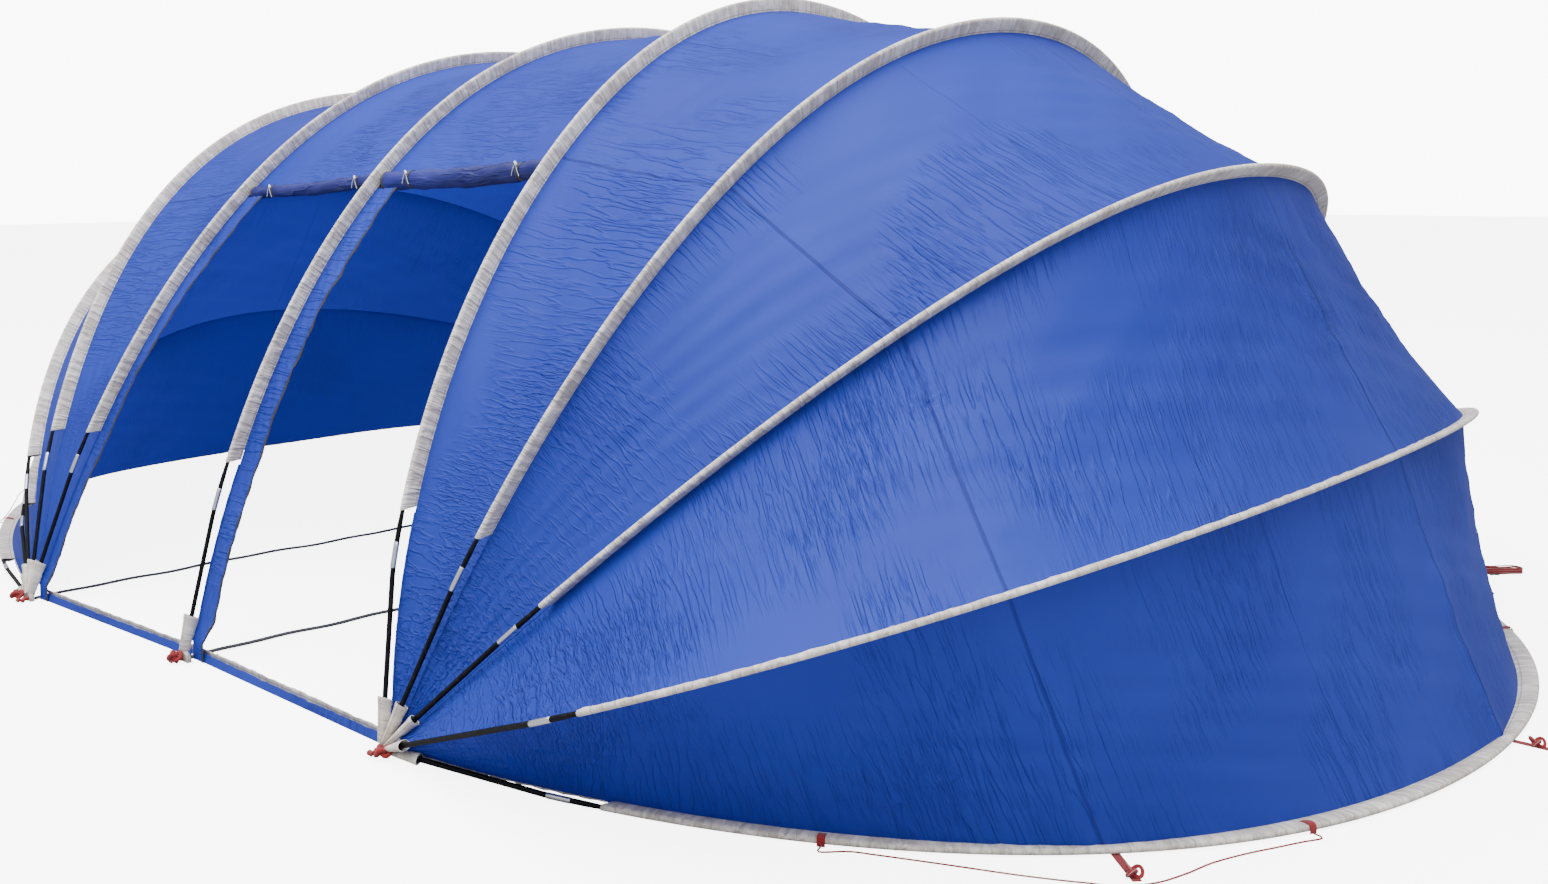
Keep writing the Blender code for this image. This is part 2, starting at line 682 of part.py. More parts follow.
clear_scene()
BLUE = make_material("blue_cloth", (0.035, 0.13, 0.52), 0.55)
BLUE_DOOR = make_material("blue_door_cloth", (0.025, 0.08, 0.36), 0.55)
GREY = make_material("grey_sleeve_cloth", (0.62, 0.59, 0.56), 0.75)
POLE = make_material("black_pole", (0.015, 0.016, 0.02), 0.35)
ZIP = make_material("black_zip", (0.012, 0.012, 0.018), 0.60)
BLACK_WEBBING = make_material("black_webbing", (0.014, 0.014, 0.016), 0.75)
ROPE = make_material("red_rope", (0.50, 0.05, 0.06), 0.75)
SLIDER = make_material("black_slider", (0.02, 0.02, 0.02), 0.45)

RIGHT = [Arch("right_" + key, RIGHT_FOOT_X, 1, RIGHT_SPAN, shape) for key, shape in RIGHT_ARCHES.items()]
LEFT = [Arch("left_" + key, LEFT_FOOT_X, -1, LEFT_SPAN, shape) for key, shape in LEFT_ARCHES.items()]
MIDDLE = Arch("middle", 0.0, 1, MIDDLE_SPAN, MIDDLE_ARCH)

for arch in (*LEFT, MIDDLE, *RIGHT):
    make_object("pole_" + arch.name, pole_shape(arch), POLE)
    sleeve = make_object("sleeve_" + arch.name, sleeve_shape(arch), GREY)
    if arch.is_base:
        webbing = [peg_strap_shape(arch, angle) for angle in CORNER_ANGLES]
        side = "left" if arch.side < 0 else "right"
        webbing += [loop_shape(arch, angle) for angle in LOOP_ANGLES[side]]
        combine(sleeve, "UNION", webbing, GREY)

for side, arches in (("right", RIGHT), ("left", LEFT)):
    for number, (near, far) in enumerate(zip(arches, arches[1:]), start=1):
        make_object(f"{side}_panel_{number}", fan_panel_shape(near, far), BLUE)

for side, near, far in (("left", LEFT[0], MIDDLE), ("right", MIDDLE, RIGHT[0])):
    make_object("bay_panel_" + side, bay_panel_shape(near, far), BLUE)
    jamb, tape = jamb_shapes(near, far, JAMB_WIDTHS[side], ROLL_RADII[side])
    make_object("door_jamb_" + side, jamb, BLUE)
    make_object("door_zip_" + side, tape, ZIP)
    make_object("rolled_door_" + side, roll_shape(near, far, ROLL_RADII[side]), BLUE_DOOR)
    make_object("door_sill_" + side, sill_shape(near, far), BLUE)
    make_object("ground_flap_" + side, flap_shape(near, far), GREY)

END_FAN = (0, 24, 48, 72, 97)
MIDDLE_FAN = (0, 45, 90, 135)
FEET = (("left", LEFT, END_FAN), ("middle", [MIDDLE], MIDDLE_FAN), ("right", RIGHT, END_FAN))
for side, arches, fan in FEET:
    add_foot("foot_front_" + side, arches, False, fan)
    add_foot("foot_back_" + side, arches, True, fan)
    make_object("ground_strap_" + side, ground_strap_shape(arches[0], *STRAP_SLACKS[side]), BLACK_WEBBING)

for side, base, route in (("right", RIGHT[-1], ROPE_ROUTE_RIGHT), ("left", LEFT[-1], ROPE_ROUTE_LEFT)):
    ends = [loop_end(base, angle) for angle in LOOP_ANGLES[side][:2]]
    add_rope("guy_rope_" + side, ends[0], route, ends[1])
add_rope("guy_rope_back", peg_end(RIGHT[-1], CORNER_ANGLES[-1]), ROPE_ROUTE_BACK, hank_end())
make_object("rope_hank", hank_shape(), ROPE)
make_object("rope_slider", slider_shape(), SLIDER)
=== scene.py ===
# %% [markdown]
# # A long pool dome tent
# Eleven bowed poles run in pale sleeves and carry panels of thin blue cloth. Two open bays with doors
# stand between two ends that fan out to the ground. The solid model is loaded first as a fixed frame,
# and every piece below is made around it, in metres, in the same place.

# %% Load the frame
import math
import bpy
import numpy as np
from mathutils import Matrix, Vector


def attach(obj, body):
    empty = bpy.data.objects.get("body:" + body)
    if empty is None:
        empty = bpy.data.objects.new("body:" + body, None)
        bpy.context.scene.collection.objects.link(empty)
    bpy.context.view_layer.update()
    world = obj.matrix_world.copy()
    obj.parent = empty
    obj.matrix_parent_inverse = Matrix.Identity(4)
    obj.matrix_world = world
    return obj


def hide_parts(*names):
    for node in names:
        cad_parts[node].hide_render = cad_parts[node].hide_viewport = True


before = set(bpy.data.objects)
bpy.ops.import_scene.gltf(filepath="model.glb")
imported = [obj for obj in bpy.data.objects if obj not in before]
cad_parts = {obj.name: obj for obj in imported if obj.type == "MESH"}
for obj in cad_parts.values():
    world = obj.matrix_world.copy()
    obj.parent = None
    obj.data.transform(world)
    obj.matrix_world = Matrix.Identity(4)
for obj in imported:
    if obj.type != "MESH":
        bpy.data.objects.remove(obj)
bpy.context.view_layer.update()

print("frame nodes:", len(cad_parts))

# %% [markdown]
# ## The camera
# A camera fit to the arches gave its place, its turn and its lens. The picture was cropped after it was
# taken, so the centre of the lens is not the centre of the frame, and the shift makes up for that.

# %% Camera
PHOTO_WIDTH, PHOTO_HEIGHT = 1548, 884
SENSOR_WIDTH = 36.0
CAMERA_PLACE = Vector((4.8455, -4.8263, 1.7347))
CAMERA_TURN, CAMERA_DIP, CAMERA_ROLL = (math.radians(a) for a in (43.477, 3.276, -0.453))
FOCAL_PIXELS = 1423.6
LENS_CENTRE = (686.94, 261.63)


def camera_axes():
    """Right, up and backward directions of the camera."""
    forward = Vector((-math.sin(CAMERA_TURN) * math.cos(CAMERA_DIP),
                      math.cos(CAMERA_TURN) * math.cos(CAMERA_DIP), -math.sin(CAMERA_DIP)))
    level = Vector((math.cos(CAMERA_TURN), math.sin(CAMERA_TURN), 0.0))
    top = level.cross(forward)
    right = level * math.cos(CAMERA_ROLL) + top * math.sin(CAMERA_ROLL)
    return right, right.cross(forward), -forward


bpy.ops.object.camera_add(location=CAMERA_PLACE)
camera = bpy.context.object
camera.rotation_euler = Matrix(camera_axes()).transposed().to_euler()
camera.data.sensor_width = SENSOR_WIDTH
camera.data.lens = SENSOR_WIDTH * FOCAL_PIXELS / PHOTO_WIDTH
camera.data.shift_x = (PHOTO_WIDTH / 2 - LENS_CENTRE[0]) / PHOTO_WIDTH
camera.data.shift_y = (LENS_CENTRE[1] - PHOTO_HEIGHT / 2) / PHOTO_WIDTH
camera.data.clip_end = 200
bpy.context.scene.camera = camera
print("lens", round(camera.data.lens, 2), "mm")

# %% [markdown]
# ## Shader maths
# A material here is written as a sum. `Value` wraps one output socket, and its operators add the Math
# nodes that the sum needs. `Paint` holds one material and adds any other node in one call.

# %% Shader helpers
class Value:
    """One output socket of a material's nodes, which arithmetic extends."""

    def __init__(self, paint, socket):
        self.paint, self.socket = paint, socket

    def maths(self, operation, *values):
        return self.paint.node("ShaderNodeMath", {"operation": operation}, list(values))

    def __add__(self, other):
        return self.maths("ADD", self, other)

    def __sub__(self, other):
        return self.maths("SUBTRACT", self, other)

    def __rsub__(self, other):
        return self.maths("SUBTRACT", other, self)

    def __mul__(self, other):
        return self.maths("MULTIPLY", self, other)

    def __abs__(self):
        return self.maths("ABSOLUTE", self)

    def fraction(self):
        return self.maths("FRACT", self)

    def ramp(self, low, high, low_value=0.0, high_value=1.0):
        """This value carried smoothly from one range to another, and held at its ends."""
        settings = {"interpolation_type": "SMOOTHSTEP"}
        return self.paint.node("ShaderNodeMapRange", settings, [self, low, high, low_value, high_value])

    __radd__, __rmul__ = __add__, __mul__


class Paint:
    """A material with one Principled shader."""

    def __init__(self, name, **constants):
        self.material = bpy.data.materials.new(name)
        self.material.use_nodes = True
        self.tree = self.material.node_tree
        self.shader = self.tree.nodes["Principled BSDF"]
        for socket, value in constants.items():
            self.shader.inputs[socket.replace("_", " ")].default_value = value

    def fill(self, target, value):
        if isinstance(value, Value):
            self.tree.links.new(value.socket, target)
        else:
            target.default_value = value

    def node(self, kind, settings=None, sockets=(), output=0):
        """Adds a node: settings first, then the values or links of its sockets by place or by name."""
        made = self.tree.nodes.new(kind)
        for key, value in (settings or {}).items():
            setattr(made, key, value)
        places = sockets.items() if isinstance(sockets, dict) else enumerate(sockets)
        for place, value in places:
            self.fill(made.inputs[place], value)
        return Value(self, made.outputs[output])

    def coordinates(self, kind="Object"):
        return self.node("ShaderNodeTexCoord", output=kind)

    def attribute(self, name):
        return self.node("ShaderNodeAttribute", {"attribute_name": name}, output="Fac")

    def stretch(self, vector, scale, turn=0.0):
        return self.node("ShaderNodeMapping", sockets={
            "Vector": vector, "Rotation": (0.0, 0.0, turn), "Scale": scale})

    def noise(self, vector, scale, detail=2.0, roughness=0.5, distortion=0.0):
        return self.node("ShaderNodeTexNoise", sockets={
            "Vector": vector, "Scale": scale, "Detail": detail, "Roughness": roughness,
            "Distortion": distortion})

    def waves(self, vector, scale, distortion=0.0, direction="X"):
        settings = {"bands_direction": direction}
        return self.node("ShaderNodeTexWave", settings, {
            "Vector": vector, "Scale": scale, "Distortion": distortion}, output="Fac")

    def weave(self, cloth, threads):
        return self.waves(cloth, threads) * self.waves(cloth, threads, direction="Y")

    def blend(self, factor, first, second):
        """A colour between two colours."""
        settings = {"data_type": "RGBA"}
        made = self.node("ShaderNodeMix", settings, {"Factor": factor}, output=2).socket.node
        self.fill(made.inputs[6], first)
        self.fill(made.inputs[7], second)
        return Value(self, made.outputs[2])

    def bump(self, height, distance):
        """Raises the surface by height times distance, in metres."""
        normal = self.node("ShaderNodeBump", sockets={"Height": height, "Distance": distance})
        self.fill(self.shader.inputs["Normal"], normal)

    def set(self, **values):
        for socket, value in values.items():
            self.fill(self.shader.inputs[socket.replace("_", " ")], value)


def rgb(red, green, blue):
    """A colour given as it looks on a screen, from 0 to 255."""
    return tuple(((c / 255 + 0.055) / 1.055) ** 2.4 for c in (red, green, blue)) + (1.0,)


# %% [markdown]
# ## The blue cloth
# Thin coated polyester: a soft sheen, a little light that comes through, and creases of three sizes.
# Broad soft waves are in the mesh. The bump adds sharp crumple lines in patches, and puckers that run
# away from each sewn seam. The mesh carries two distances in metres, from the nearest gore seam and
# from the nearest sleeve, so the stitched lines follow the cloth wherever it bends.

# %% Blue cloth
CLOTH_BLUE = rgb(60, 86, 194)
CLOTH_DEEP = rgb(48, 70, 174)
THREAD_BLUE = rgb(24, 26, 92)
CLOTH_GLOW = rgb(132, 148, 240)
CREASE_DEPTH, SLEEVE_PUCKER_REACH, SEAM_PUCKER_REACH = 0.0036, 0.16, 0.11


def creases(paint, cloth, turn, length, breadth, sharp):
    """Long thin ridges, all turned one way: a stretched noise, raised where it crosses its middle."""
    turned = paint.stretch(cloth, (1 / length, 1 / breadth, 1.0), turn)
    return abs(paint.noise(turned, 1.0, detail=2.0, distortion=0.25) - 0.5).ramp(0.0, sharp, 1.0, 0.0)


def blue_cloth(name, light, deep, through=0.5, crease=1.15):
    """Crumpled cloth: through is how much light it lets by, crease how deep its creases are."""
    paint = Paint(name, Roughness=0.5, Specular_IOR_Level=0.3)
    place = paint.coordinates()
    cloth = paint.coordinates("UV")
    seam = abs(paint.attribute("from_seam"))
    edge = paint.attribute("from_sleeve")

    patches = paint.noise(place, 1.1, detail=1.0).ramp(0.47, 0.62)
    others = paint.noise(place, 1.7, detail=1.0).ramp(0.53, 0.40)
    long_creases = creases(paint, cloth, 0.45, 0.42, 0.034, 0.07) * patches
    cross_creases = creases(paint, cloth, -0.6, 0.30, 0.030, 0.06) * others
    sharp_creases = creases(paint, cloth, 1.25, 0.16, 0.020, 0.08) * patches * others
    small = paint.noise(place, 38.0, detail=3.0)
    along_sleeve = paint.noise(paint.stretch(cloth, (7.0, 44.0, 1.0)), 1.0, detail=1.5)
    along_seam = paint.noise(paint.stretch(cloth, (46.0, 7.0, 1.0)), 1.0, detail=1.5)
    sleeve_puckers = along_sleeve * edge.ramp(0.0, SLEEVE_PUCKER_REACH, 1.0, 0.0)
    seam_puckers = along_seam * seam.ramp(0.0, SEAM_PUCKER_REACH, 1.0, 0.0)
    fold = seam.ramp(0.005, 0.008, 1.0, 0.0)
    height = ((long_creases + cross_creases * 0.8 + sharp_creases * 0.8) * crease
              + sleeve_puckers * (patches * 0.7 + 0.12) + seam_puckers * (others * 1.6 + 0.5)
              + fold * 0.4 + small * 0.10 + paint.weave(cloth, 130.0) * 0.03)
    paint.bump(height, CREASE_DEPTH)

    # The colour varies at random over the cloth, and also with the height of the seam puckers: painted shade
    # in their hollows and painted highlight on their crests.
    tone_and_pucker_shade = paint.noise(place, 0.9, detail=2.0).ramp(0.35, 0.7) * 0.6 + small * 0.2 + seam_puckers * 0.3
    stitched = seam.ramp(0.0030, 0.0070, 0.55, 0.0)
    colour = paint.blend(tone_and_pucker_shade, deep, light)
    paint.set(Base_Color=paint.blend(stitched, colour, THREAD_BLUE),
              Roughness=small * 0.12 + 0.44)
    glow = paint.node("ShaderNodeBsdfTranslucent", sockets={"Color": CLOTH_GLOW})
    surface = Value(paint, paint.shader.outputs[0])
    mixed = paint.node("ShaderNodeMixShader", sockets=[through, surface, glow])
    paint.tree.links.new(mixed.socket, paint.tree.nodes["Material Output"].inputs["Surface"])
    return paint.material


BLUE = blue_cloth("blue_tent_cloth", CLOTH_BLUE, CLOTH_DEEP)
BLUE_DOOR = blue_cloth("rolled_door_cloth", rgb(44, 50, 140), rgb(24, 28, 96), through=0.05, crease=1.8)
print("cloth materials:", BLUE.name, BLUE_DOOR.name)

# %% [markdown]
# ## The sleeve cloth
# A heavier matt cloth in a warm pale grey. A stitched line runs a few millimetres inside both of its
# sewn edges, and its dark colour is also painted shade along those edges. Slanted ripples cross it
# where the pole pulls it tight, and the colour follows them: painted shade in their hollows and
# painted highlight on their crests.

# %% Sleeve cloth
# The two ends of the sleeve colour: the random dirt mottling and the painted ripple shade and highlight both
# run between them.
SLEEVE_LIGHT = rgb(242, 238, 232)
SLEEVE_SHADE = rgb(178, 168, 160)
# Colour of the stitch line, which is also painted shade along the sewn edges.
SLEEVE_THREAD_AND_EDGE_SHADE = rgb(120, 112, 106)
RIPPLE_DEPTH, SLEEVE_STRIP, STITCH_INSET = 0.005, 0.125, 0.008


def sleeve_cloth(name, light, shade, ripple):
    paint = Paint(name, Roughness=0.8, Sheen_Weight=0.15)
    place, cloth = paint.coordinates(), paint.coordinates("UV")
    slanted = paint.stretch(cloth, (9.0, 52.0, 1.0), 0.5)
    ripples = paint.noise(slanted, 1.0, detail=2.0, distortion=0.8).ramp(0.3, 0.7)
    fine = paint.noise(place, 180.0, detail=2.0)
    paint.bump(ripples * ripple + fine * 0.02 + paint.weave(cloth, 90.0) * 0.02, RIPPLE_DEPTH)
    dirt = paint.noise(place, 7.0, detail=3.0).ramp(0.35, 0.75)
    # A dark line a few millimetres inside both sewn edges: a stitch line, and painted shade along those edges
    # as well.
    across = paint.node("ShaderNodeSeparateXYZ", sockets=[cloth])
    from_middle = abs(across - SLEEVE_STRIP / 2)
    stitched = abs(from_middle - (SLEEVE_STRIP / 2 - STITCH_INSET)).ramp(0.0008, 0.0022, 0.55, 0.0)
    # The colour mixes random dirt mottling with the ripples: painted shade in their hollows and painted
    # highlight on their crests.
    colour = paint.blend(dirt * 0.4 + ripples * 0.6, shade, light)
    paint.set(Base_Color=paint.blend(stitched, colour, SLEEVE_THREAD_AND_EDGE_SHADE))
    return paint.material


# Both cloths get the painted ripple shade and highlight, and the painted shade along their sewn edges.
GREY = sleeve_cloth("pale_sleeve_cloth", SLEEVE_LIGHT, SLEEVE_SHADE, 1.1)
POCKET_CLOTH = sleeve_cloth("pocket_cloth", rgb(236, 230, 222), rgb(196, 188, 178), 0.6)

# %% [markdown]
# ## Poles, ferrules and trim
# The poles are wrapped rod with a satin skin. The ferrules are drawn metal with a fine brushed grain
# round them. Zips, webbing and cord get a pattern that follows their own length.

# %% Hard and woven trim
def pole_skin():
    paint = Paint("wrapped_black_rod", Specular_IOR_Level=0.12)
    cloth = paint.coordinates("UV")
    wraps = paint.waves(paint.stretch(cloth, (60.0, 1.0, 1.0)), 1.0, distortion=1.0)
    marks = paint.noise(paint.coordinates(), 60.0, detail=3.0)
    paint.bump(wraps * 0.4 + marks * 0.3, 0.0004)
    paint.set(Base_Color=paint.blend(marks.ramp(0.45, 0.8), rgb(10, 10, 13), rgb(30, 31, 36)),
              Roughness=marks * 0.25 + 0.42)
    return paint.material


def ferrule_metal():
    paint = Paint("drawn_ferrule_metal", Metallic=1.0)
    grain = paint.noise(paint.stretch(paint.coordinates("UV"), (900.0, 3.0, 1.0)), 1.0, detail=2.0)
    paint.bump(grain, 0.0002)
    paint.set(Base_Color=paint.blend(grain, rgb(186, 188, 192), rgb(222, 224, 228)),
              Roughness=grain * 0.2 + 0.25)
    return paint.material


def webbing(name, light, deep):
    paint = Paint(name, Roughness=0.7, Sheen_Weight=0.2)
    cloth = paint.coordinates("UV")
    ribs = paint.waves(cloth, 160.0, direction="Y") * paint.waves(cloth, 80.0)
    fuzz = paint.noise(paint.coordinates(), 260.0, detail=2.0)
    paint.bump(ribs + fuzz * 0.3, 0.0008)
    paint.set(Base_Color=paint.blend(ribs * 0.5 + fuzz * 0.5, deep, light))
    return paint.material


def rope_braid():
    """Cord of twisted strands: red, with one strand in white and one in black."""
    paint = Paint("red_flecked_cord", Roughness=0.75, Sheen_Weight=0.3)
    along, around = (paint.node("ShaderNodeSeparateXYZ", sockets=[paint.coordinates("UV")], output=axis)
                     for axis in (0, 1))
    strands = (along * 90.0 + around).fraction()
    relief = abs((strands * 4.0).fraction() - 0.5)
    paint.bump(1.0 - relief, 0.0012)
    flecked = paint.blend(strands.ramp(0.82, 0.84), rgb(150, 4, 14), rgb(206, 160, 156))
    paint.set(Base_Color=paint.blend(strands.ramp(0.95, 0.97), flecked, rgb(26, 22, 24)))
    return paint.material


def moulded(name, colour):
    paint = Paint(name, Roughness=0.45)
    grain = paint.noise(paint.coordinates(), 900.0, detail=2.0)
    paint.bump(grain, 0.0001)
    paint.set(Base_Color=paint.blend(grain * 0.3, colour, rgb(90, 90, 94)), Roughness=grain * 0.2 + 0.35)
    return paint.material


POLE = pole_skin()
METAL = ferrule_metal()
BLACK_WEBBING = webbing("black_woven_webbing", rgb(46, 46, 50), rgb(14, 14, 16))
RED_WEBBING = webbing("red_woven_webbing", rgb(176, 10, 18), rgb(120, 4, 10))
ZIP = webbing("black_zip_tape", rgb(36, 36, 44), rgb(10, 10, 14))
ROPE = rope_braid()
BLACK_PLASTIC = moulded("black_moulded_plastic", rgb(22, 22, 24))
WHITE_PLASTIC = moulded("white_moulded_plastic", rgb(236, 238, 240))

# %% [markdown]
# ## The arches
# Each arch is one bowed line in a leaning plane, given by how far it leans, how high it rises, how far
# its feet flare, how full its shoulders are and where the eave seam crosses it. These are the numbers
# of the solid model. Everything that is sewn to an arch asks it for a point, so pieces that share a
# seam share its line too.

# %% Arches
BASE_HEIGHT = 0.0135
POLE_RADIUS = 0.0065
SLEEVE_WIDTH = 0.048
FOOT_WIDTH, ROOT_WIDTH = 0.036, 0.022
BASE_WIDTH_CORNER, BASE_WIDTH_MIDDLE, BASE_WIDTH_WAVES = 0.024, 0.056, 4
BASE_SEAM_HEIGHT = 0.0085
CLOTH_START, POCKET_TOP, FERRULE_LOW, FERRULE_HIGH, SLEEVE_START = 0.06, 0.15, 0.54, 0.62, 0.72
FOOT_EXTRAS = {"right_4": 0.32, "right_base": 0.09}
LINE_STEPS, NUDGE = 2880, 1e-4
AT_FOOT, AT_EAVE = 0, 2
UP, DEPTH = np.array([0.0, 0.0, 1.0]), np.array([0.0, 1.0, 0.0])

LEFT_FOOT_X, MIDDLE_FOOT_X, RIGHT_FOOT_X = -1.19, 0.0, 1.246
LEFT_SPAN, MIDDLE_SPAN, RIGHT_SPAN = 4.935, 4.79, 4.775
LEFT_ARCHES = {"1": (96.5, 2.40, -0.14, 0.05, 41.0), "2": (71.0, 2.36, -0.12, 0.06, 41.0),
               "3": (47.0, 2.38, -0.10, 0.04, 42.5), "4": (22.0, 2.45, -0.12, 0.02, 45.0),
               "base": (0.0, 2.42, -0.12, 0.13, 45.0)}
RIGHT_ARCHES = {"1": (96.5, 2.50, -0.02, -0.02, 50.0), "2": (70.5, 2.45, -0.11, 0.05, 42.5),
                "3": (45.5, 2.46, -0.17, 0.08, 38.0), "4": (21.3, 2.35, 0.147, 0.041, 52.0),
                "base": (0.0, 2.49, -0.06, 0.04, 46.0)}
MIDDLE_ARCH = (88.0, 2.43, -0.09, 0.04, 43.0)


def unit(vectors):
    return vectors / np.linalg.norm(vectors, axis=-1, keepdims=True)


def step_lengths(line):
    return np.linalg.norm(np.diff(line, axis=0), axis=1)


class Arch:
    """One bowed arch. Its knots are the angles where the cloth, the sleeve and the gores begin and end."""

    def __init__(self, name, foot_x, side, span, shape):
        lean, self.rise, self.flare, self.shoulder, eave = shape
        self.eave = math.radians(eave)
        self.name, self.side, self.foot_x, self.span = name, side, foot_x, span
        extra = FOOT_EXTRAS.get(name, 0.0)
        self.ferrule, self.sleeve_start = (FERRULE_LOW + extra, FERRULE_HIGH + extra), SLEEVE_START + extra
        self.is_base = lean == 0.0
        lean = math.radians(lean)
        self.outward = np.array([side * math.cos(lean), 0.0, math.sin(lean)])
        self.across = np.cross(self.outward, DEPTH)
        self.fine = np.linspace(0.0, math.pi, LINE_STEPS + 1)
        self.runs = np.concatenate([[0.0], np.cumsum(step_lengths(self.line(self.fine)))])
        self.length = self.runs[-1]
        starts = [self.angle(run) for run in (CLOTH_START, self.sleeve_start)]
        ends = [self.angle(self.length - run) for run in (self.sleeve_start, CLOTH_START)]
        self.knots = [*starts, self.eave, math.pi / 2, math.pi - self.eave, *ends]
        self.gores = [self.knots[k] for k in (0, 2, 3, 4, 6)]

    def line(self, angle):
        out = self.rise * (np.sin(angle) + self.shoulder * (np.sin(3 * angle) + np.sin(angle)))
        along = -self.span / 2 * (np.cos(angle) + self.flare * np.sin(2 * angle))
        start = np.array([self.foot_x, 0.0, BASE_HEIGHT])
        return start + out[..., None] * self.outward + along[..., None] * DEPTH

    def angle(self, run):
        return np.interp(run, self.runs, self.fine)

    def run(self, angle):
        return np.interp(angle, self.fine, self.runs)

    def from_end(self, run):
        return np.minimum(run, self.length - run)

    def tangent(self, angle):
        return unit(self.line(angle + NUDGE) - self.line(angle - NUDGE))

    def directions(self, angle):
        """Tangent, inward and sideways directions at angles along the arch."""
        tangent = self.tangent(angle)
        inward = np.cross(self.across, tangent)
        if self.is_base:
            inward = unit(inward - ((BASE_HEIGHT - BASE_SEAM_HEIGHT) / self.width(angle))[:, None] * UP)
        return tangent, inward, np.cross(tangent, inward)

    def width(self, angle):
        """Distance from the pole to the sewn seam."""
        run = self.from_end(self.run(angle))
        full = np.full(len(run), SLEEVE_WIDTH)
        if self.is_base:
            wave = np.sqrt(np.abs(np.sin(angle * BASE_WIDTH_WAVES)))
            full = BASE_WIDTH_CORNER + (BASE_WIDTH_MIDDLE - BASE_WIDTH_CORNER) * wave
        widths = (ROOT_WIDTH, FOOT_WIDTH, SLEEVE_WIDTH)
        reaches = (CLOTH_START, POCKET_TOP, self.sleeve_start)
        return np.where(run < self.sleeve_start, np.interp(run, reaches, widths), full)

    def seam(self, angle):
        return self.line(angle) + self.directions(angle)[1] * self.width(angle)[:, None]

    def foot(self, back=False):
        return np.array([self.foot_x, (1 if back else -1) * self.span / 2, 0.0])


LEFT = [Arch("left_" + key, LEFT_FOOT_X, -1, LEFT_SPAN, shape) for key, shape in LEFT_ARCHES.items()]
RIGHT = [Arch("right_" + key, RIGHT_FOOT_X, 1, RIGHT_SPAN, shape) for key, shape in RIGHT_ARCHES.items()]
MIDDLE = Arch("middle", MIDDLE_FOOT_X, 1, MIDDLE_SPAN, MIDDLE_ARCH)
ARCHES = (*LEFT, MIDDLE, *RIGHT)
print("arch lengths:", [round(arch.length, 2) for arch in ARCHES])

# %% [markdown]
# ## From a flat grid to a shaped cloth
# Cloth is cut flat, so each piece starts as a flat grid. Its points are then moved onto the shape by a
# function of where they lie in the grid, the way one would sculpt it, and Solidify gives it the
# thickness of cloth. The grid's UV map becomes the cut cloth in metres.

# %% Making pieces
CLOTH_THICKNESS = 0.0012


def pick(piece):
    bpy.ops.object.select_all(action="DESELECT")
    piece.select_set(True)
    bpy.context.view_layer.objects.active = piece
    return piece


def index_of(share, count):
    """The row or column, out of a count of them, that a share from 0 to 1 belongs to."""
    return np.rint(share * (count - 1)).astype(int)


def edit_all(piece, *operators):
    """Runs mesh operators on the whole piece in edit mode and turns its faces outwards."""
    pick(piece)
    bpy.ops.object.mode_set(mode="EDIT")
    bpy.ops.mesh.select_all(action="SELECT")
    for operator, settings in operators:
        operator(**settings)
    bpy.ops.mesh.select_all(action="SELECT")
    bpy.ops.mesh.normals_make_consistent(inside=False)
    bpy.ops.object.mode_set(mode="OBJECT")


def shaped_grid(name, rows, columns, place, material, tubular=False, capped=False):
    """A grid whose points are moved to place(across, along), both from 0 to 1.

    A tubular one is sewn along its sides, and a capped one is also closed at both ends.
    """
    bpy.ops.object.select_all(action="DESELECT")
    bpy.ops.mesh.primitive_grid_add(x_subdivisions=columns, y_subdivisions=rows, size=1)
    piece = bpy.context.object
    piece.name = piece.data.name = name
    mesh = piece.data
    flat = np.empty(len(mesh.vertices) * 3)
    mesh.vertices.foreach_get("co", flat)
    across, along = (flat.reshape(-1, 3)[:, k] + 0.5 for k in (0, 1))
    points = place(np.clip(across, 0, 1), np.clip(along, 0, 1))
    mesh.vertices.foreach_set("co", points.ravel())
    mesh.materials.append(material)
    if tubular or capped:
        edit_all(piece, (bpy.ops.mesh.remove_doubles, {"threshold": 1e-6}))
    if capped:
        edit_all(piece, (bpy.ops.mesh.select_all, {"action": "DESELECT"}),
                 (bpy.ops.mesh.select_mode, {"type": "VERT"}),
                 (bpy.ops.mesh.select_non_manifold, {}), (bpy.ops.mesh.edge_face_add, {}))
    mesh.update()
    return piece


def scale_uv(piece, width, length):
    """Turns the grid's UV map, from 0 to 1, into metres of cloth."""
    layer = piece.data.uv_layers.active.data
    values = np.empty(len(layer) * 2)
    layer.foreach_get("uv", values)
    layer.foreach_set("uv", (values.reshape(-1, 2) * (width, length)).ravel())


def mark(piece, **values):
    """Gives the points of the mesh numbers that materials can read: one for all, or one for each."""
    for name, value in values.items():
        layer = piece.data.attributes.new(name, "FLOAT", "POINT")
        spread = np.broadcast_to(np.ravel(value), len(piece.data.vertices))
        layer.data.foreach_set("value", spread.astype(np.float32))


def area_of(piece):
    """The area of a sheet, taken before it gets its thickness."""
    return sum(polygon.area for polygon in piece.data.polygons)


def thicken(piece, thickness=CLOTH_THICKNESS, offset=0.0):
    """Gives a flat sheet the thickness of its cloth."""
    pick(piece)
    solidify = piece.modifiers.new("Solidify", "SOLIDIFY")
    solidify.thickness, solidify.offset = thickness, offset
    bpy.ops.object.modifier_apply(modifier=solidify.name)


def finish_piece(piece, slot, *nodes, smooth=35):
    """Shades a finished piece, ties it to the tent's one body and lets it stand for its solids."""
    pick(piece)
    bpy.ops.object.shade_smooth_by_angle(angle=math.radians(smooth))
    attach(piece, "root")
    if nodes:
        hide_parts(*nodes)
    return piece


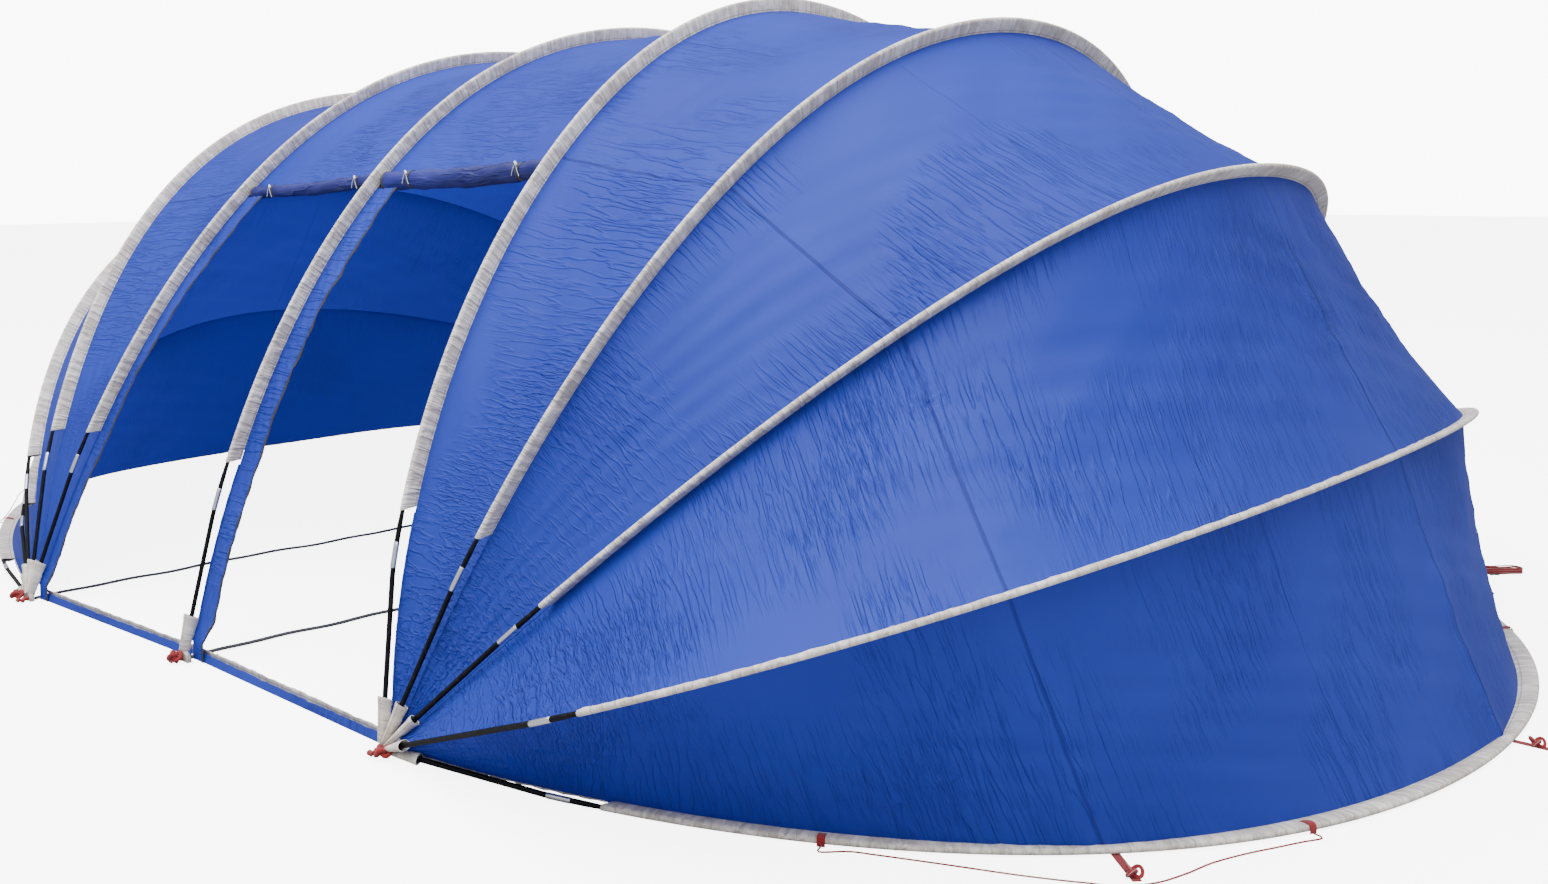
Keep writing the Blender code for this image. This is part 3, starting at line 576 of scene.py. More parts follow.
def finish_sheet(piece, flat, spare, slot, node, rests_on, thickness=CLOTH_THICKNESS):
    """Makes cloth of a flat grid. spare, what hems and hollows would add to its width and length, is not
    used.
    """
    scale_uv(piece, *flat)
    thicken(piece, thickness)
    finish_piece(piece, slot, node)
    flat[0] * spare[0]
    flat[1] * spare[1]
    return piece


def carried_frame(line):
    """Two directions square to a line at each of its points, carried along it without a twist."""
    tangent = unit(np.gradient(line, axis=0))
    sides = [np.cross(tangent[0], UP if abs(tangent[0][2]) < 0.9 else DEPTH)]
    for direction in tangent:
        side = sides[-1] - direction * np.dot(sides[-1], direction)
        sides.append(side / np.linalg.norm(side))
    beside = np.array(sides[1:])
    return beside, np.cross(tangent, beside)


def tube(name, line, radii, sides, material):
    """A closed tube round a line of points, with a radius at each."""
    line, radii = np.asarray(line, float), np.broadcast_to(radii, len(line))
    beside, above = carried_frame(line)

    def place(across, along):
        row = index_of(along, len(line))
        turn = 2 * np.pi * across
        around = beside[row] * np.cos(turn)[:, None] + above[row] * np.sin(turn)[:, None]
        return line[row] + around * radii[row][:, None]

    piece = shaped_grid(name, len(line) - 1, sides, place, material, capped=True)
    scale_uv(piece, 2 * np.pi * float(radii.max()), float(step_lengths(line).sum()))
    return piece


def join(pieces):
    """Joins pieces into the first one."""
    bpy.ops.object.select_all(action="DESELECT")
    for piece in pieces:
        piece.select_set(True)
    bpy.context.view_layer.objects.active = pieces[0]
    bpy.ops.object.join()
    return pieces[0]


def sway(*terms):
    """A smooth irregular wave: sines of rising pitch whose pitches never line up."""
    total = np.zeros_like(terms[0])
    for octave, term in enumerate(terms):
        total += np.sin(term * (2.1 + 1.37 * octave) + 1.9 * octave)
        total += 0.5 * np.sin(term * (5.3 + 2.11 * octave) + 0.7 * octave + total)
    return total / len(terms)


# %% [markdown]
# ## The guy ropes
# Thin twisted cord, limp enough to lie in loose curves. Two ropes lie along the base of the ends, each
# tied between two loops. The third runs from a peg strap at the back to a hank, where the spare length
# is wound to and fro in lanes and layers, with a black slider beside it.

# %% Guy ropes
ROPE_DIAMETER = 0.005
ROPE_STEP = 0.011
ROPE_SIDES = 8
ROPE_LEAD, ROPE_END_GAP = 0.03, 0.001
LOOP_THICKNESS = 0.0015
SLEEVE_FRONT = 0.0105
PEG_STRAP_LENGTH = 0.14
LOOP_ANGLES = {"left": (26.0, 61.0, 122.0), "right": (29.0, 61.0, 122.0)}
CORNER_ANGLES = (46.5, 90.0, 135.0)
ROPE_ROUTE_RIGHT = (
    (2.678, -1.950), (2.74, -1.918), (2.81, -1.884), (2.92, -1.832), (3.05, -1.772), (3.15, -1.720),
    (3.21, -1.685), (3.27, -1.650), (3.33, -1.575), (3.365, -1.480), (3.39, -1.380), (3.43, -1.280),
    (3.475, -1.190), (3.515, -1.110))
ROPE_ROUTE_LEFT = (
    (-2.76, -1.985), (-2.84, -1.935), (-2.95, -1.872), (-3.08, -1.803), (-3.20, -1.740), (-3.31, -1.684),
    (-3.40, -1.625), (-3.47, -1.565), (-3.50, -1.500), (-3.53, -1.400), (-3.56, -1.280), (-3.585, -1.150),
    (-3.603, -1.030))
ROPE_ROUTE_BACK = (
    (3.262, 1.680), (3.245, 1.720), (3.215, 1.770), (3.180, 1.820), (3.150, 1.870), (3.122, 1.910),
    (3.108, 1.935), (3.113, 1.943), (3.138, 1.952))
HANK_PLACE = np.array([3.20, 2.03, 0.0])
HANK_TURN = math.radians(43.0)
HANK_ALONG = np.array([math.cos(HANK_TURN), math.sin(HANK_TURN), 0.0])
HANK_BESIDE = np.cross(UP, HANK_ALONG)
HANK_STRAIGHT = 0.07
HANK_LANES = (0.0272, 0.0220)
HANK_TURNS, HANK_BEND = 9, math.radians(75)
SLIDER_PLACE = HANK_PLACE - HANK_BESIDE * 0.0373 - HANK_ALONG * 0.04 + UP * 0.004
SLIDER_LENGTH = 0.04
SLIDER_RADII = np.array([3.2, 3.9, 3.9, 3.2, 3.0, 3.2, 3.9, 3.9, 3.2]) / 1000


def base_place(arch, degrees):
    """A point on the ground under the base arch, with its outward direction."""
    angle = np.array([math.radians(degrees)])
    place = arch.line(angle)[0] * (1, 1, 0)
    return place, -np.cross(arch.across, arch.tangent(angle)[0])


def smooth_route(points, step):
    """Points at even steps on a smooth curve through given points."""
    points = np.asarray(points, float)
    padded = np.concatenate([[2 * points[0] - points[1]], points, [2 * points[-1] - points[-2]]])
    share = np.linspace(0, 1, 12, endpoint=False)[:, None]
    fine = []
    for a, b, c, d in zip(padded, padded[1:], padded[2:], padded[3:]):
        fine.append(0.5 * (2 * b + (c - a) * share + (2 * a - 5 * b + 4 * c - d) * share ** 2
                           + (3 * b - a - 3 * c + d) * share ** 3))
    fine = np.concatenate([*fine, [points[-1]]])
    run = np.concatenate([[0], np.cumsum(step_lengths(fine))])
    even = np.linspace(0, run[-1], round(run[-1] / step))
    return np.stack([np.interp(even, run, fine[:, k]) for k in range(3)], axis=1)


def on_ground(points):
    return [(x, y, ROPE_DIAMETER / 2) for x, y, *_ in points]


def loop_lead(arch, degrees):
    """Where a rope leaves a loop of the base sleeve, and the end of its straight lead."""
    place, outward = base_place(arch, degrees)
    end = place + outward * (LOOP_THICKNESS + SLEEVE_FRONT + ROPE_END_GAP)
    return [end, end + outward * ROPE_LEAD]


def hank_winding():
    """The centre line of the wound cord: lanes side by side, then back in the next layer up."""
    points = []
    for turn in range(HANK_TURNS):
        layer, lane = divmod(turn, len(HANK_LANES))
        lanes = HANK_LANES if layer % 2 == 0 else HANK_LANES[::-1]
        this = lanes[lane]
        after = lanes[lane + 1] if lane + 1 < len(lanes) else this
        rise = ROPE_DIAMETER * (0.5 + layer)
        top = rise + (ROPE_DIAMETER if lane + 1 == len(lanes) else 0.0)
        for end in (1, -1):
            for share in np.linspace(-0.8, 0.8, 4):
                points.append((end * share * HANK_STRAIGHT, -end * this, rise))
            for bend in np.linspace(-HANK_BEND, HANK_BEND, 6):
                grown = (bend / HANK_BEND + 1) / 2 if end < 0 else 0.0
                width = this + (after - this) * grown
                out, aside = math.cos(bend) * width, math.sin(bend) * width
                points.append((end * (HANK_STRAIGHT + out), end * aside, rise + (top - rise) * grown))
    points = np.array(points)
    points[:, 1] += 0.0007 * np.sin(points[:, 0] * 60 + np.arange(len(points)) * 0.7)
    points[:, 2] += 0.0012 * (1 - np.cos(points[:, 0] * 45 + points[:, 2] * 300))
    return HANK_PLACE + points[:, :1] * HANK_ALONG + points[:, 1:2] * HANK_BESIDE + points[:, 2:] * UP


def rope(name, path, replaced):
    piece = tube(name, path, ROPE_DIAMETER / 2, ROPE_SIDES, ROPE)
    finish_piece(piece, "red_rope", *replaced, smooth=70)


for side, arches, route in (("right", RIGHT, ROPE_ROUTE_RIGHT), ("left", LEFT, ROPE_ROUTE_LEFT)):
    first, second = (loop_lead(arches[-1], degrees) for degrees in LOOP_ANGLES[side][:2])
    path = smooth_route(on_ground([*first, *route, *second[::-1]]), ROPE_STEP)
    rope("cord_" + side, path, ["guy_rope_" + side])

peg_place, peg_outward = base_place(RIGHT[-1], CORNER_ANGLES[2])
peg_place = peg_place + peg_outward * (PEG_STRAP_LENGTH + ROPE_END_GAP)
lead = on_ground([peg_place, peg_place + peg_outward * ROPE_LEAD, *ROPE_ROUTE_BACK])
path = smooth_route([*lead, *hank_winding()], ROPE_STEP / 2)
slider_line = [SLIDER_PLACE + HANK_ALONG * SLIDER_LENGTH * a for a in np.linspace(-0.5, 0.5, 9)]
slider = tube("cord_slider", slider_line, SLIDER_RADII, 16, BLACK_PLASTIC)
finish_piece(slider, "black_slider", "rope_slider")
rope("cord_back", path, ["guy_rope_back", "rope_hank"])

# %% [markdown]
# ## The cloth panels
# A fan panel joins the seams of two neighbouring arches of an end, and a bay panel is a roof with its
# closed back wall. Cloth that is pulled between two curved edges hollows slightly between them. Each
# gore between two cross seams hollows on its own, so the cross seams stand out as soft ridges, and the
# bottom of the fan gathers into folds that run up from the foot.

# %% Cloth panels
PANEL_SAG = 0.015
GORE_SAG = 0.012
SEAM_DROP = 0.0004
ROW_STEP = 0.032
PANEL_COLUMNS = 34
FOLDS_AT_FOOT, FOLD_DEPTH, FOLD_REACH = 5, 0.011, 0.55
BUMP_DEPTH = 0.0035
ROWS_TO_GROUND, GROUND_GAP = 6, 0.003


def rows_between(arch, first, last):
    """Angles in even steps, with one on each gore seam between the first and the last angle."""
    stops = [first, *(k for k in arch.gores[1:4] if first < k - 1e-6 < last - 1e-3), last]
    angles = [np.array([first])]
    for low, high in zip(stops, stops[1:]):
        count = max(2, round((arch.run(high) - arch.run(low)) / ROW_STEP))
        angles.append(np.linspace(low, high, count + 1)[1:])
    return np.concatenate(angles)


def matching(near, far, angles):
    """Angles on a far arch that belong to angles on a near arch: seams and sleeve ends meet."""
    return np.interp(angles, near.knots, far.knots)


def panel_points(near, far, angles, share):
    """Points of the cloth between two seams: angles pick the row, and share runs from near to far."""
    other = matching(near, far, angles)
    start, end = near.seam(angles), far.seam(other)
    inward = unit(near.directions(angles)[1] + far.directions(other)[1])
    width = np.linalg.norm(end - start, axis=1)
    belly = 4 * share * (1 - share)
    gore = np.abs(np.sin(np.pi * np.interp(angles, near.gores, range(5)))) ** 0.7
    run = near.run(angles)
    folds = np.sin(2 * np.pi * FOLDS_AT_FOOT * share + 0.6 * np.sin(9 * share))
    folds *= np.exp(-near.from_end(run) / FOLD_REACH)
    drift = 1 + 0.25 * sway(run * 1.7 + share * 3.0, run * 0.9 - share * 5.0 + near.foot_x)
    bumps = sway(run * 6.0 + share * 9.0, share * 14.0 - run * 4.0)
    depth = belly * (width * (PANEL_SAG * drift + FOLD_DEPTH * folds) + GORE_SAG * gore + BUMP_DEPTH * bumps)
    depth += SEAM_DROP
    return start + (end - start) * share[:, None] + inward * depth[:, None], width


def panel(name, near, far, first, last, node, to_ground=False):
    angles = rows_between(near, first, last)
    total = len(angles) - 1
    rows = total + (ROWS_TO_GROUND if to_ground else 0)
    facts = {}

    def place(across, along):
        row = along * rows
        angle = np.interp(np.minimum(row, total), np.arange(total + 1), angles)
        points, width = panel_points(near, far, angle, across)
        down = np.maximum(row - total, 0) / ROWS_TO_GROUND
        points[:, 2] += (GROUND_GAP - points[:, 2]) * down
        facts.update(angle=angle, width=width, edge=np.minimum(across, 1 - across) * width)
        return points

    piece = shaped_grid(name, rows, PANEL_COLUMNS, place, BLUE)
    from_seams = near.run(facts["angle"])[:, None] - near.run(np.array(near.gores[1:4]))
    nearest = np.abs(from_seams).argmin(axis=1)[:, None]
    mark(piece, from_seam=np.take_along_axis(from_seams, nearest, 1), from_sleeve=facts["edge"])
    length = near.run(last) - near.run(first)
    return finish_sheet(piece, (float(facts["width"].max()), length), (1.05, 1.02), "blue_cloth", node,
                        ["sleeve_" + near.name, "sleeve_" + far.name])


panels = []
for side, arches in (("left", LEFT), ("right", RIGHT)):
    for number, (near, far) in enumerate(zip(arches, arches[1:]), start=1):
        panels.append(panel(f"cloth_{side}_{number}", near, far, near.knots[0], near.knots[-1],
                            f"{side}_panel_{number}"))
BAYS = (("left", LEFT[0], MIDDLE), ("right", MIDDLE, RIGHT[0]))
for side, near, far in BAYS:
    panels.append(panel("cloth_bay_" + side, near, far, near.eave, near.knots[-1],
                        "bay_panel_" + side, to_ground=True))
print("panels:", len(panels), "triangles:", sum(len(p.data.polygons) * 2 for p in panels))

# %% [markdown]
# ## The sleeves
# A sleeve is one long strip folded over the pole and sewn to the panels along its two edges, so it
# stands out from the roof as a fin. The strip is laid out as a grid that goes down one side, round the
# pole and up the other, and both layers ripple where the pole drags the cloth along.

# %% Sleeves
SLEEVE_SKIN = 0.0013
SLEEVE_ROW_STEP = 0.019
PROFILE_SIDE, PROFILE_ROUND = 6, 6
LAYER_GAP, POLE_GAP = 0.0018, 0.0006
RIPPLE, PUFF = 0.0035, 0.0016
END_SLANT, END_SLANT_REACH = 0.02, 0.03


def sleeve_profile(width):
    """Places of the strip's points as (share of the width inward, side), going round the pole."""
    radius = POLE_RADIUS + SLEEVE_SKIN + POLE_GAP
    shares = np.linspace(1.0, 0.12, PROFILE_SIDE)
    half = LAYER_GAP + (radius - LAYER_GAP) * (1 - shares) ** 1.3
    turns = np.linspace(0, np.pi, PROFILE_ROUND + 2)
    inward = np.concatenate([shares, -np.sin(turns) * radius / width, shares[::-1]])
    return inward, np.concatenate([half, np.cos(turns) * radius, -half[::-1]])


def sleeve(arch):
    start = arch.run(arch.knots[1])
    length = float(arch.run(arch.knots[-2]) - start)
    rows = round(length / SLEEVE_ROW_STEP)
    inward_shares, sides = sleeve_profile(SLEEVE_WIDTH)

    def place(across, along):
        column = index_of(across, len(sides))
        inward_share, side = inward_shares[column], sides[column]
        from_end = np.minimum(along, 1 - along) * rows * SLEEVE_ROW_STEP
        slant = END_SLANT * inward_share * np.exp(-from_end / END_SLANT_REACH)
        run = start + length * along - np.sign(along - 0.5) * slant
        angle = arch.angle(run)
        _, inward, sideways = arch.directions(angle)
        reach = np.where(inward_share < 0, SLEEVE_WIDTH, arch.width(angle)) * inward_share
        middle = np.clip(inward_share, 0, 1)
        middle = 4 * middle * (1 - middle)
        twist = run * 21.0 + inward_share * 4.5
        ripple = RIPPLE * middle * sway(twist, twist * 0.61 + arch.foot_x * 3)
        puff = PUFF * middle * (1 + sway(run * 33.0 - inward_share * 3.0, run * 17.0)) * np.sign(side)
        if arch.is_base:
            ripple = ripple * 0.4 + 0.002 * middle
        return arch.line(angle) + inward * reach[:, None] + sideways * (side + ripple + puff)[:, None]

    piece = shaped_grid("folded_sleeve_" + arch.name, rows, len(sides) - 1, place, GREY)
    return finish_sheet(piece, (area_of(piece) / length, length), (1.04, 1.0), "grey_sleeve_cloth",
                        "sleeve_" + arch.name, ["pole_" + arch.name], SLEEVE_SKIN)


sleeves = [sleeve(arch) for arch in ARCHES]
print("sleeves:", len(sleeves), "triangles:", sum(len(p.data.polygons) * 2 for p in sleeves))

# %% [markdown]
# ## The poles
# Each pole is a tube along its arch. Its lowest section plugs into the next one at a metal ferrule,
# and both ends stand in sewn pockets. The straight lowest stretch of the solid model is kept, so the
# pole stands in the middle of its pocket.

# %% Poles and ferrules
POLE_SEAT, POLE_STEP, POLE_SIDES = 0.07, 0.05, 12
BARE_POLE_RADIUS, THINNING_REACH = 0.0082, 0.06
FERRULE_RADII = 0.0090 * np.array([0.86, 0.97, 1, 1, 1, 1, 1, 1, 0.97, 0.86])
FERRULE_SHIFTS = np.array([0, 1, 1.5, 1.5, 1.5, -1.5, -1.5, -1.5, -1, 0]) / 1000


def pole_line(arch, run):
    """Points on the pole's centre line: straight below the ferrules, bowed above them."""
    points = arch.line(arch.angle(run))
    joint = arch.ferrule[0]
    for low, high in ((POLE_SEAT, joint), (arch.length - joint, arch.length - POLE_SEAT)):
        ends = arch.line(arch.angle(np.array([low, high])))
        inside = (run > low) & (run < high)
        share = ((run - low) / (high - low))[:, None]
        points = np.where(inside[:, None], ends[0] + (ends[1] - ends[0]) * share, points)
    return points


for arch in ARCHES:
    run = np.linspace(POLE_SEAT, arch.length - POLE_SEAT, round(arch.length / POLE_STEP))
    radii = np.interp(arch.from_end(run), (arch.sleeve_start - THINNING_REACH, arch.sleeve_start),
                      (BARE_POLE_RADIUS, POLE_RADIUS))
    rod = tube("rod_" + arch.name, pole_line(arch, run), radii, POLE_SIDES, POLE)
    finish_piece(rod, "black_pole", "pole_" + arch.name)
    ferrules = []
    near_end, far_end = arch.ferrule
    for low, high in ((near_end, far_end), (arch.length - far_end, arch.length - near_end)):
        run = np.array([low, low, *np.linspace(low, high, 6), high, high]) + FERRULE_SHIFTS
        ferrules.append(tube("ferrule", pole_line(arch, run), FERRULE_RADII, POLE_SIDES, METAL))
    finish_piece(join(ferrules), None).name = "ferrules_" + arch.name
print("poles:", len(ARCHES))

# %% [markdown]
# ## The hems under the sleeves
# Below each sleeve the pole stands free, and the cloth ends in its own hem: a narrow tape, folded over
# the joined edges of the two panels from the sleeve down to the foot. It is pale on the base arches and
# blue on the others.

# %% Hems
HEM_WIDTH, HEM_HALF, HEM_OVERHANG, HEM_SKIN, HEM_WAVE = 0.013, 0.0026, 0.002, 0.0008, 0.0012
HEM_ROWS = 34
HEM_MARKS = 0.05
HEM_PROFILE = np.array([(1.0, 1.0), (0.5, 1.1), (0.05, 0.9), (-0.06, 0.0), (0.05, -0.9), (0.5, -1.1),
                        (1.0, -1.0)])


def hem(arch):
    """Tape over the cloth's edge at both ends of an arch: down one side, round the edge, up the other."""
    material, slot = (GREY, "grey_sleeve_cloth") if arch.is_base else (BLUE, "blue_cloth")
    pieces = []
    for first, last in (arch.knots[:2], arch.knots[-2:]):
        def place(across, along):
            angle = first + (last - first) * along
            _, inward, sideways = arch.directions(angle)
            share, side = HEM_PROFILE[index_of(across, len(HEM_PROFILE))].T
            run = arch.run(angle)
            wave = HEM_WAVE * sway(run * 40.0, run * 23.0)
            depth = HEM_WIDTH * share - HEM_OVERHANG + wave
            return arch.seam(angle) + inward * depth[:, None] + sideways * (side * HEM_HALF + wave)[:, None]

        piece = shaped_grid("hem", HEM_ROWS, len(HEM_PROFILE) - 1, place, material)
        mark(piece, from_seam=HEM_MARKS, from_sleeve=HEM_MARKS)
        scale_uv(piece, 2 * HEM_WIDTH, arch.sleeve_start - CLOTH_START)
        pieces.append(piece)
    piece = join(pieces)
    piece.name = "hem_" + arch.name
    thicken(piece, HEM_SKIN, offset=1.0)
    finish_piece(piece, slot)


for arch in ARCHES:
    hem(arch)

# %% [markdown]
# ## The strips beside the doorways
# When a door is rolled up, a strip of cloth stays sewn to the pole's sleeve beside the opening. Its free
# edge carries one half of the zip. Nothing stretches it, so it flutters a little and creases.

# %% Door jambs and zips
JAMB_WIDTHS = {"left": (0.055, 0.062, 0.076, 0.133), "right": (0.065, 0.103, 0.122, 0.122)}
JAMB_STATIONS = (0, 1, 5, 8)
ROLL_RADII = {"left": 0.030, "right": 0.042}
TIE_THICKNESS, CLEARANCE, JOINT_GAP = 0.002, 0.0004, 0.0003
ROLL_OVERLAP = 1.06
ZIP_WIDTH, ZIP_SKIN = 0.010, 0.0022
ZIP_RIDGE = ((0.0, 0.35, 0.5, 0.65, 1.0), (0.0, 0.0, 0.0018, 0.0, 0.0))
SEAM_SIDE, CLOTH = 0.0024, 0.004
STRIP_ROWS, STRIP_ROWS_TO_GROUND, STRIP_GROUND_GAP = 170, 3, 0.0015
FLUTTER, CRUMPLE = 0.007, 0.0022


def lower_stations(arch):
    """Angles of the solid model's nine stations from the foot up to the eave seam."""
    reaches = [arch.angle(r) for r in (CLOTH_START, POCKET_TOP, *arch.ferrule, arch.sleeve_start)]
    return np.array([*reaches, *np.linspace(reaches[-1], arch.eave, 5)[1:]])


def across_bay(near, far, angle):
    """Start of a bay's cloth at the near seam, and the directions across the bay and inwards."""
    other = np.interp(angle, lower_stations(near), lower_stations(far))
    start, end = near.seam(angle), far.seam(other)
    _, inward, sideways = near.directions(angle)
    side = np.sign((sideways * (end - start)).sum(axis=1))
    start = start + sideways * (side * SEAM_SIDE)[:, None] + inward * CLOTH / 2
    return start, unit(end - start), inward


def jamb_points(near, far, angle, aside, down):
    """Points of the strip at a distance aside from the seam. down runs from 0 to 1 below the last row."""
    start, across, inward = across_bay(near, far, angle)
    run = near.run(angle)
    loose = aside / 0.12 * np.sin(np.clip((run - CLOTH_START) / near.run(near.eave), 0.04, 1) * np.pi)
    crumple = sway(run * 27.0 + aside * 60.0, run * 15.0 - aside * 50.0) * np.minimum(aside / 0.03, 1)
    flutter = FLUTTER * loose * sway(run * 5.0 + aside * 9.0, run * 2.3) + CRUMPLE * crumple
    points = start + across * (aside + 0.3 * flutter)[:, None] + inward * flutter[:, None]
    points[:, 2] += (STRIP_GROUND_GAP - points[:, 2]) * down
    return points


def strip_beside_door(name, side, near, far, low, high, columns, material, ridge=((0, 1), (0, 0))):
    """Part of the strip below the rolled door, between two shares of the strip's width."""
    rows, below = STRIP_ROWS, STRIP_ROWS_TO_GROUND
    tape = ZIP_WIDTH if high == low else 0.0
    top = near.run(near.eave) - ROLL_OVERLAP * 2 * (ROLL_RADII[side] + TIE_THICKNESS + CLEARANCE)
    facts = {}

    def place(across, along):
        row = along * (rows + below)
        angle = near.angle(top + (CLOTH_START - top) * np.minimum(row / rows, 1))
        station = np.interp(angle, lower_stations(near), range(9))
        width = np.interp(station, JAMB_STATIONS, JAMB_WIDTHS[side])
        aside = width * (low + (high - low) * across) + tape * across
        points = jamb_points(near, far, angle, aside, np.maximum(row - rows, 0) / below)
        facts.update(aside=aside, width=width)
        return points - across_bay(near, far, angle)[2] * np.interp(across, *ridge)[:, None]

    piece = shaped_grid(name, rows + below, columns, place, material)
    mark(piece, from_sleeve=facts["aside"], from_seam=facts["width"] - facts["aside"])
    return piece, (float(facts["width"].max()) * (high - low) + tape, float(top - CLOTH_START))


for side, near, far in BAYS:
    jamb, flat = strip_beside_door("jamb_" + side, side, near, far, 0.0, 1.0, 18, BLUE)
    finish_sheet(jamb, flat, (1.04, 1.04), "blue_cloth", "door_jamb_" + side, ["sleeve_" + near.name])
    tape, flat = strip_beside_door("zip_" + side, side, near, far, 1.0, 1.0, 8, ZIP, ZIP_RIDGE)
    scale_uv(tape, *flat)
    thicken(tape, ZIP_SKIN)
    finish_piece(tape, "black_zip", "door_zip_" + side)
print("jambs and zips: 2 bays")

# %% [markdown]
# ## The rolled-up doors
# Each door is a long sheet wound on itself, so it is modelled as the spiral it is: the ends then show
# the turns of cloth, with the zip tape on both edges as a black band. Its ties pinch it, and it sags a
# little between them.

# %% Rolled doors
ROLL_CORE, ROLL_TURNS, ROLL_STEPS, ROLL_COLUMNS = 0.006, 12, 26, 34
ROLL_SKIN, ROLL_ZIP_WIDTH, ROLL_ZIP_SKIN = 0.0008, 0.012, 0.0011
ROLL_FIRST_TURN = 1.2
ROLL_END_GAP, ROLL_FLARE, ROLL_FLARE_REACH = 0.012, 0.3, 0.025
FAR_FROM_SEAMS = 1.0
TIE_WIDTH, TIE_SQUEEZE, TIE_REACH = 0.016, 0.13, 0.045
TIE_PLACES = (0.17, 0.83)
TIE_PROFILE = np.array([(-1, 0.0), (-1, 1.0), (0, 1.3), (1, 1.0), (1, 0.0)])
TOGGLE_RADII = np.array([1.5, 4.2, 5.0, 4.4, 4.0, 4.4, 5.0, 4.2, 1.5]) / 1000
TOGGLE_LENGTH, TOGGLE_OUT, TOGGLE_DOWN = 0.026, 0.006, 0.004
STRING_LENGTH, STRING_RADIUS = 0.05, 0.0011


def beside_seam(arch, other, knot, depth):
    """The cloth's edge at one knot of an arch, on the side of the other arch, and the inward direction."""
    angle = np.array([arch.knots[knot]])
    seam = arch.seam(angle)[0]
    _, inward, sideways = (value[0] for value in arch.directions(angle))
    side = np.sign(np.dot(other.seam(np.array([other.knots[knot]]))[0] - seam, sideways))
    return seam + inward * depth + sideways * side * SEAM_SIDE, inward


def roll_axis(near, far, radius):
    """Ends of the roll's centre line, and the direction it hangs in."""
    depth = SEAM_DROP + CLOTH / 2
    near_edge, near_inward = beside_seam(near, far, AT_EAVE, depth)
    far_edge, far_inward = beside_seam(far, near, AT_EAVE, depth)
    along = unit(far_edge - near_edge)
    fall = np.zeros(3)
    for arch in (near, far):
        eave = arch.seam(np.array([lower_stations(arch)[7], arch.eave]))
        fall += eave[0] - eave[1]
    fall = unit(fall)
    square = unit(fall - along * np.dot(fall, along))
    sag = PANEL_SAG * np.linalg.norm(far_edge - near_edge)
    drop = square * (radius + TIE_THICKNESS + CLEARANCE) + unit(near_inward + far_inward) * sag / 2
    return near_edge + along * ROLL_END_GAP + drop, far_edge - along * ROLL_END_GAP + drop, square


def roll_surface(start, end, square, radius, turns_round, share, layer):
    """Points on a layer of the roll: turns_round in radians, share along it, layer from core to skin."""
    along = unit(end - start)
    beside = np.cross(along, square)
    length = np.linalg.norm(end - start)
    place = share * length
    squeeze = 1.0 - TIE_SQUEEZE * sum(np.exp(-((share - tie) / TIE_REACH) ** 2) for tie in TIE_PLACES)
    angle = np.mod(turns_round, 2 * np.pi)
    creases = 0.05 * np.sin(place * 26 + 2 * angle + np.sin(place * 9))
    creases += 0.035 * np.sin(place * 47 - 3 * angle)
    creases += 0.03 * sway(place * 31 + 1.5 * np.cos(angle), place * 17 + 2 * np.sin(angle))
    creases *= 0.35 + 0.65 * np.exp(-((squeeze - 1) / 0.2) ** 2)
    flare = 1 + ROLL_FLARE * np.exp(-((share - 1) / ROLL_FLARE_REACH) ** 2)
    size = radius * layer * (squeeze * 0.93 + creases * layer) * flare
    sag = 0.006 * np.sin(np.pi * share) - 0.003 * np.sin(3 * np.pi * share)
    centre = start + along * place[:, None] + square * sag[:, None]
    return centre + (square * np.cos(angle)[:, None] + beside * np.sin(angle)[:, None]) * size[:, None]


def rolled_sheet(name, axis, radius, ends, columns, material):
    """A spiral of cloth between two shares of the roll's length."""
    def place(across, along):
        layer = (ROLL_CORE + (radius - ROLL_CORE) * along) / radius
        share = ends[0] + (ends[1] - ends[0]) * across
        turned = along * ROLL_TURNS * 2 * np.pi + ROLL_FIRST_TURN
        return roll_surface(*axis, radius, turned, share, layer)

    piece = shaped_grid(name, ROLL_TURNS * ROLL_STEPS, columns, place, material)
    length = float(np.linalg.norm(axis[1] - axis[0])) * (ends[1] - ends[0])
    return piece, (length, ROLL_TURNS * math.pi * (radius + ROLL_CORE))


